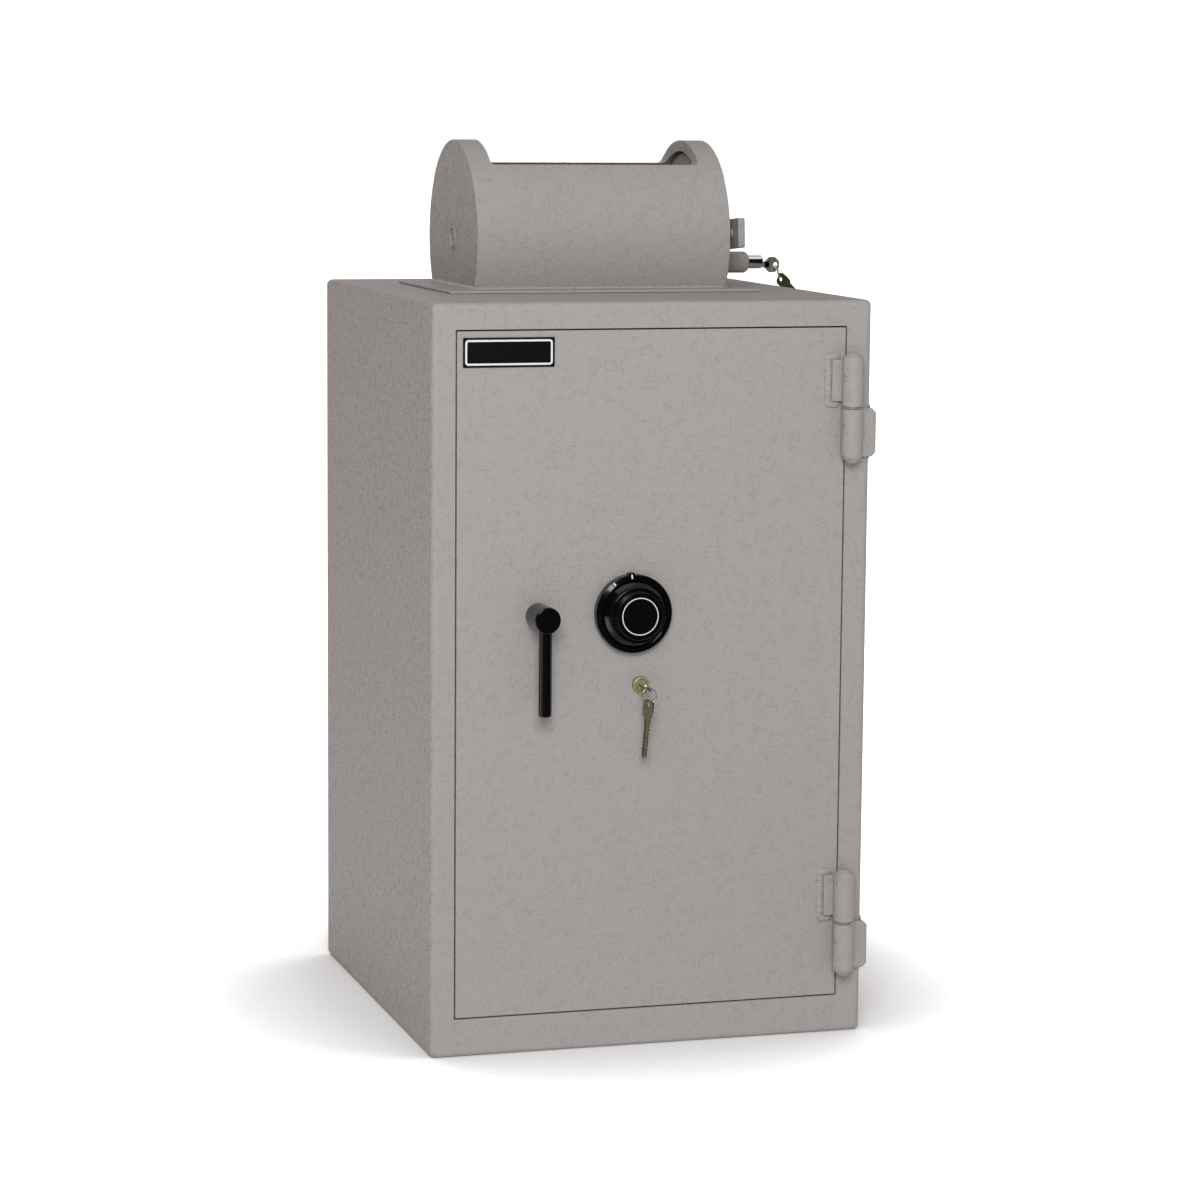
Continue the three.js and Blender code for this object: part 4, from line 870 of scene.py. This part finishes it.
# The spare's hole hangs 1.2 mm below the ring's lowest point, and its own plane is turned about the
# vertical.
def hanging_key(lowest, facing, tilt):
    """The spare key under that point: it faces across, and leans by tilt degrees in its own plane."""
    facing = np.asarray(facing, float)
    axis = np.cross(facing, (0, 0, 1))
    turn = np.array(Matrix.Rotation(math.radians(tilt), 3, Vector(axis)))
    points, faces = flat_key(40, HALF_BLADE, (0.9, 1.5, 0.7, 1.3, 1.0, 1.6, 0.8))
    blank = (points - np.array([0, HOLE_ALONG, 0]), faces)
    return in_plane(blank, lowest - np.array([0, 0, 1.2]), turn @ facing, turn @ np.array([0, 0, 1]))


# The spare keys take a darker copy of the same nickel silver: painted shade, and a painted dark reflection.
spare_nickel = nickel_silver("nickel_silver_painted_shade", "67654F", "A8A58A", 0.2)
yaw = math.radians(28)
piece(
    "door_key_hanging",
    [
        (
            hanging_key(ring_centre - np.array([0, 0, RING_RADIUS]), (math.sin(yaw), -math.cos(yaw), 0), -6),
            spare_nickel,
        )
    ],
    "door_spare_key",
    ["door_spare_key"],
)


# Hopper base
# A thin steel plate under the hopper, stitch welded to the cabinet's top, with a fillet of weld between
# it and the hopper. It is painted over.
HOPPER_Y, HOPPER_Z = 55, 856
HOPPER_LEFT, HOPPER_RIGHT = -141.8, 148.4
HOPPER_RADIUS = 108
PLATE_TOP = 802.8
half = math.sqrt(HOPPER_RADIUS**2 - (HOPPER_Z - PLATE_TOP) ** 2) + 0.3
base_plate = carve(
    stand(
        plate(rounded(rectangle(-180.5, 175, -82, 150), 1.2), 800.3, PLATE_TOP, 0.7),
        **FLAT,
    ),
    block(-142.1, 148.7, HOPPER_Y - half, HOPPER_Y + half, 795, 810),
)
front_line = HOPPER_Y - half + 0.4
back_line = HOPPER_Y + half - 0.4
weld_lines = [
    ((-141, front_line), (147.5, front_line), 5, 2.2),
    ((-141, back_line), (147.5, back_line), 5, 2.2),
    ((-142, front_line), (-142, back_line), 6, 2.6),
    ((148.6, front_line), (148.6, back_line), 6, 2.6),
]
weld_parts = [
    bead(np.array([(*start, PLATE_TOP), (*end, PLATE_TOP)]), (0, 0, 1), width, height, seed)
    for seed, (start, end, width, height) in enumerate(weld_lines, 3)
]
piece(
    "hopper_footplate",
    [(base_plate, wrinkle_paint)] + [(weld, wrinkle_paint) for weld in weld_parts],
    "cabinet",
    ["hopper_base"],
)


# Hopper housing
# A thick tube between two welded end discs, ground flush. Its mouth is flame cut, so the cut faces carry
# the torch's drag lines, and the corners of the cut are round.
mouth = [(-117, 937.5), (123, 937.5), (123, 975), (-117, 975)]
mouth_outline = rounded(mouth, [5, 5, 0, 0], 8)
mouth_outline = mouth_outline[
    np.linalg.norm(mouth_outline - np.roll(mouth_outline, 1, axis=0), axis=1) > 1e-5
]
ends = np.concatenate([mouth_outline, mouth_outline[:1]])
run = np.concatenate([[0], np.cumsum(np.linalg.norm(np.diff(ends, axis=0), axis=1))])
fine = np.linspace(0, run[-1], 380, endpoint=False)
fine_outline = np.stack([np.interp(fine, run, ends[:, 0]), np.interp(fine, run, ends[:, 1])], 1)
drag = np.random.default_rng(11).uniform(-1, 1, len(fine))
drag = np.convolve(np.pad(drag, 1, mode="wrap"), np.ones(3) / 3, "valid")
away = fine_outline - np.array([3, 960])
away /= np.linalg.norm(away, axis=1, keepdims=True)
wavering = fine_outline + (fine_outline[:, 1:] < 970) * 0.35 * drag[:, None] * away
mouth_grid = np.stack([np.insert(wavering, 1, y, axis=1) for y in (-60, 170)])
shell_solid = turned(
    [(0, HOPPER_LEFT), (HOPPER_RADIUS, HOPPER_LEFT), (HOPPER_RADIUS, HOPPER_RIGHT), (0, HOPPER_RIGHT)],
    [0, 1.2, 1.2, 0],
    columns=192,
)
hollow = turned([(0, -129.1), (96, -129.1), (96, 135.7), (0, 135.7)], 0, columns=192)
left_bore = turned([(0, -145), (13.5, -145), (13.5, -120), (0, -120)], 0)
right_bore = turned([(0, 130), (13, 130), (13, 155), (0, 155)], 0)
pin_bore = turned([(0, 130), (4.5, 130), (4.5, 155), (0, 155)], 0, columns=32)
low_mouth = block(-117, 123, -60, 170, 740, 774.5)
axis_at = (0, HOPPER_Y, HOPPER_Z)
PIN_AT = (0, HOPPER_Y, HOPPER_Z - 29.6)
housing = carve(
    stand(shell_solid, axis_at, **LEVEL),
    stand(hollow, axis_at, **LEVEL),
    stand(left_bore, axis_at, **LEVEL),
    stand(right_bore, axis_at, **LEVEL),
    stand(pin_bore, PIN_AT, **LEVEL),
    skin(mouth_grid),
    low_mouth,
)
piece(
    "hopper_housing",
    [(housing, wrinkle_paint)],
    "cabinet",
    ["hopper_shell", "hopper_cap_left", "hopper_cap_right"],
)


# Hopper bearings and drum
# Steel bushes pressed into the end discs. In them turns the drum: a rolled steel trough between two discs
# with stub shafts, painted like the rest.
bush = turned(
    [(9.875, -143), (9.875, -129.4), (12.7, -129.4), (12.7, -143)], [0.9, 0.2, 0.2, 0.8], closed=True
)
piece(
    "bearing_left",
    [(stand(bush, axis_at, **LEVEL), wrinkle_paint)],
    "cabinet",
    ["shaft_bush_left"],
)
bush = turned(
    [(9.875, 136), (9.875, 161.5), (12.7, 161.5), (12.7, 136)], [0.2, 0.5, 0.8, 0.2], closed=True
)
piece(
    "bearing_right",
    [(stand(bush, axis_at, **LEVEL), wrinkle_paint)],
    "cabinet",
    ["shaft_bush_right"],
)
keep(["drum_trough", "drum_end_left", "drum_end_right"], wrinkle_paint)


# Handle bar
# A flat steel bar with a round end, keyed on the drum's shaft, and a button-head bolt through its free
# end. Both are painted.
tilt = math.radians(4.5)
bar_v = np.array([0, -math.cos(tilt), math.sin(tilt)])
bar_u = np.array([0, math.sin(tilt), math.cos(tilt)])
half = 16.6
ends = np.radians(np.linspace(180, 360, 25))
round_end = np.stack([half * np.cos(ends), half * np.sin(ends)], 1)
free_end = rounded([(half, -16), (half, 95), (-half, 95), (-half, -16)], [0, 3, 3, 0])
bar_outline = np.concatenate([round_end, free_end[(free_end[:, 1] > 0)]])
bar = plate(bar_outline, 161.8, 170, 0.8)
placed_bar = stand(bar, axis_at, u=bar_u, v=bar_v, w=(1, 0, 0))
shaft_hole = stand(turned([(0, 155), (9.825, 155), (9.825, 175), (0, 175)], 0), axis_at, **LEVEL)
bolt_at = np.array(axis_at) + 75 * bar_v
bolt_hole = turned([(0, 155), (3.5, 155), (3.5, 175), (0, 175)], 0, columns=32)
piece(
    "handle_flat",
    [(carve(placed_bar, shaft_hole, stand(bolt_hole, bolt_at, **LEVEL)), wrinkle_paint)],
    "drum",
    ["handle_bar"],
)
button = turned(
    [
        (0, 160.6),
        (2.2, 160.6),
        (2.2, 158.9),
        (4, 158.9),
        (4.8, 160.2),
        (4.8, 161.5),
        (3.2, 161.5),
        (3.2, 171.5),
        (0, 171.5),
    ],
    [0, 0.1, 0.3, 0.6, 0.6, 0.2, 0.1, 0.8, 0],
    columns=48,
)
piece(
    "handle_button_bolt",
    [(stand(button, bolt_at, **LEVEL), wrinkle_paint)],
    "drum",
    ["handle_bolt"],
)


# Push lock
# A painted guide tube welded to the hopper's end, and in it a chromed brass barrel that slides. Its pin
# goes through the end disc into the drum. The plug in the barrel's end takes a flat key.

# Bright chromium plate: a mirror with light wiping marks.
chrome, tree, principled = finish("bright_chromium_plate", Metallic=1)
place = add(tree, "ShaderNodeTexCoord").outputs["Object"]
wipes = add(tree, "ShaderNodeTexNoise", {"Vector": place, "Scale": 300, "Detail": 3})
follow(tree, principled, wipes, ("C9CACC", "E2E3E4"), (0.04, 0.14))

guide = turned(
    [(7.85, 148.7), (7.85, 204.5), (10, 204.5), (12.2, 201), (12.2, 148.7)],
    [0.1, 0.4, 0.8, 2, 0.3],
    closed=True,
)
piece(
    "lock_guide_tube",
    [(stand(guide, PIN_AT, **LEVEL), wrinkle_paint)],
    "cabinet",
    ["lock_tube"],
)
barrel = turned(
    [
        (0, 134.9),
        (3, 134.9),
        (4, 135.9),
        (4, 160),
        (7.5, 160),
        (7.5, 222.5),
        (5.85, 222.5),
        (5.85, 185.9),
        (0, 185.9),
    ],
    [0, 0.3, 0.3, 0.3, 0.5, 1.4, 0.2, 0, 0],
    columns=64,
)
piece(
    "push_barrel",
    [(stand(barrel, PIN_AT, **LEVEL), chrome)],
    "push_lock",
    ["push_lock_barrel"],
)
keep(["push_lock_plug"], chrome)


# Hopper keys
# A flat key with an eight-sided bow in the push lock, and on its split ring a spare that leans against the
# cabinet's edge.
key_z = 823.5
bow_x = 235.2
hole_x = 239.6
eighths = np.radians(22.5 + 45 * np.arange(8))
bow_radius = 9.525
bow_corners = np.stack([bow_x + bow_radius * np.cos(eighths), key_z + bow_radius * np.sin(eighths)], 1)
bow = rounded(bow_corners, 1.2)
near, far = 54.05, 55.95
bow_plate = plate(bow, near, far, 0.35)
shank = plate(rectangle(222.8, 232, key_z - HALF_BLADE, key_z + HALF_BLADE), near, far, 0.2)
blade = plate(rounded(rectangle(196.8, 223.5, key_z - 1.6, key_z + 2.4), 0.3), near, far, 0.15)
bow_hole = stand(
    turned([(0, 50), (3.4, 50), (2.6, 54.2), (2.6, 55.8), (3.4, 60), (0, 60)], 0, columns=32),
    (hole_x, 0, key_z),
)
piece(
    "hopper_key_flat",
    [
        (carve(stand(bow_plate), bow_hole), nickel),
        (stand(shank), nickel),
        (stand(blade), nickel),
    ],
    "push_lock_plug",
    ["hopper_key"],
)
yaw, lean = math.radians(25), math.radians(24)
tangent = np.array([math.sin(yaw), math.cos(yaw), 0])
down = np.array(
    [math.cos(yaw) * math.sin(lean), -math.sin(yaw) * math.sin(lean), -math.cos(lean)]
)
hopper_ring_top = np.array([hole_x, HOPPER_Y, key_z - 0.6])
piece(
    "hopper_split_ring",
    [
        (
            in_plane(split_ring(RING_RADIUS, WIRE), hopper_ring_top + RING_RADIUS * down, tangent, down),
            ring_nickel,
        )
    ],
    "hopper_key_ring",
    ["hopper_key_ring"],
)
yaw = math.radians(65)
piece(
    "hopper_key_hanging",
    [
        (
            hanging_key(
                hopper_ring_top + 2 * RING_RADIUS * down, (math.cos(yaw), -math.sin(yaw), 0), 60
            ),
            spare_nickel,
        )
    ],
    "hopper_spare_key",
    ["hopper_spare_key"],
)


# Floor and light
# White paper lies under and behind the object. One large soft lamp stands behind the camera, and a plain
# sky gives the rest. Dark cards, which only reflections see, keep the black enamel black.
def seen_directly(tree):
    """1 for the camera's, mirrors' and clear materials' rays, otherwise 0."""
    path = add(tree, "ShaderNodeLightPath")
    either = add(
        tree,
        "ShaderNodeMath",
        {0: path.outputs["Is Camera Ray"], 1: path.outputs["Is Glossy Ray"]},
        operation="MAXIMUM",
    )
    both = add(
        tree,
        "ShaderNodeMath",
        {0: either.outputs[0], 1: path.outputs["Is Transmission Ray"]},
        operation="MAXIMUM",
    )
    return both.outputs[0]


def staged(name, points, faces, material):
    """A mesh that belongs to the studio, in metres."""
    mesh = bpy.data.meshes.new(name)
    mesh.from_pydata(points, [], faces)
    mesh.materials.append(material)
    made = bpy.data.objects.new(name, mesh)
    bpy.context.collection.objects.link(made)
    return made


paper, tree, principled = finish(
    "white_paper",
    Base_Color=(0.95, 0.95, 0.95, 1),
    Roughness=0.95,
    Specular_IOR_Level=0,
    Emission_Color=(0.87, 0.95, 0.98, 1),
)
# Painted contact shadow: for the camera and reflections the paper's glow falls with the fourth power of its
# ambient occlusion over 0.35 m, so it darkens round the object's base.
open_sky = add(tree, "ShaderNodeAmbientOcclusion", {"Distance": 0.35}, samples=8)
painted_contact_shadow = add(tree, "ShaderNodeMath", {0: open_sky.outputs["AO"], 1: 4}, operation="POWER")
glow = add(tree, "ShaderNodeMath", {0: seen_directly(tree), 1: painted_contact_shadow.outputs[0]}, operation="MULTIPLY")
strength = add(tree, "ShaderNodeMath", {0: glow.outputs[0], 1: 1.15}, operation="MULTIPLY")
tree.links.new(strength.outputs[0], principled.inputs["Emission Strength"])
staged("floor", [(-40, -40, 0), (40, -40, 0), (40, 40, 0), (-40, 40, 0)], [(0, 1, 2, 3)], paper)

# The wall of cards stands 5.3 m off, 160 degrees to both sides of the front. Its top leans in to an
# elevation of 54 degrees, and two more lie on the floor from 0.15 m in front of the door. The strip of
# white paper between them shows as a thin line of light along the lever's rod.
black_card = finish("dark_brown_card", Base_Color=linear("1B1512"), Roughness=0.9)[0]
bearing = np.radians(np.linspace(-160, 160, 25))
wall = np.stack([np.sin(bearing), -np.cos(bearing)], 1)
card_rows = [np.insert(reach * wall, 2, z, axis=1) for reach, z in ((5.3, 0), (5.3, 3.6), (3.1, 4.8))]
near_card = [(-0.3, -0.4, 0.003), (-5, -0.4, 0.003), (-5, -2.35, 0.003)]
far_card = [(-0.35, -0.4, 0.003), (-5, -2.98, 0.003), (-5, -5.2, 0.003), (5, -5.2, 0.003), (5, -0.4, 0.003)]
card_points = np.concatenate([*card_rows, near_card, far_card])
index = np.arange(75).reshape(3, 25)
card_faces = np.stack([index[:-1, :-1], index[:-1, 1:], index[1:, 1:], index[1:, :-1]], -1).reshape(-1, 4)
floor_faces = [[75, 76, 77], [78, 79, 80, 81, 82]]
cards = staged("dark_cards", card_points.tolist(), [*card_faces.tolist(), *floor_faces], black_card)
cards.visible_camera = False
cards.visible_diffuse = False
cards.visible_shadow = False
cards.visible_transmission = False

world = bpy.data.worlds.new("studio")
bpy.context.scene.world = world
world.use_nodes = True
tree = world.node_tree
tree.nodes.clear()
sky = add(
    tree,
    "ShaderNodeMixRGB",
    {"Fac": seen_directly(tree), "Color1": (0.43, 0.356, 0.332, 1), "Color2": (1, 1, 1, 1)},
)
background = add(tree, "ShaderNodeBackground", {"Color": sky.outputs[0], "Strength": 1})
add(tree, "ShaderNodeOutputWorld", {"Surface": background.outputs[0]})

lamp = bpy.data.lights.new("softbox", "AREA")
lamp.shape = "SQUARE"
lamp.size = 1.8
lamp.color = (0.875, 0.962, 1)
lamp.energy = 117
softbox = bpy.data.objects.new("softbox", lamp)
bpy.context.collection.objects.link(softbox)
softbox.location = (-1.15, -3.95, 2.5)
softbox.rotation_euler = (Vector((0, -0.1, 0.5)) - softbox.location).to_track_quat("-Z", "Y").to_euler()

# Camera, at the photograph's place: its right, up and backward directions are the columns of its matrix.
camera_data = bpy.data.cameras.new("camera")
camera = bpy.data.objects.new("camera", camera_data)
bpy.context.collection.objects.link(camera)
camera_data.sensor_width = 36
camera_data.lens = 110.11
azimuth, pitch, roll = np.radians((16.784, -7.823, 0.473))
forward = Vector(
    (math.sin(azimuth) * math.cos(pitch), math.cos(azimuth) * math.cos(pitch), math.sin(pitch))
)
right = Vector((math.cos(azimuth), -math.sin(azimuth), 0))
up = right.cross(forward)
camera_right = math.cos(roll) * right + math.sin(roll) * up
camera_up = math.cos(roll) * up - math.sin(roll) * right
turn = Matrix((camera_right, camera_up, -forward)).transposed()
camera.matrix_world = Matrix.Translation((-1.16813, -3.92773, 1.01338)) @ turn.to_4x4()
bpy.context.scene.camera = camera
bpy.context.scene.view_settings.view_transform = "Standard"
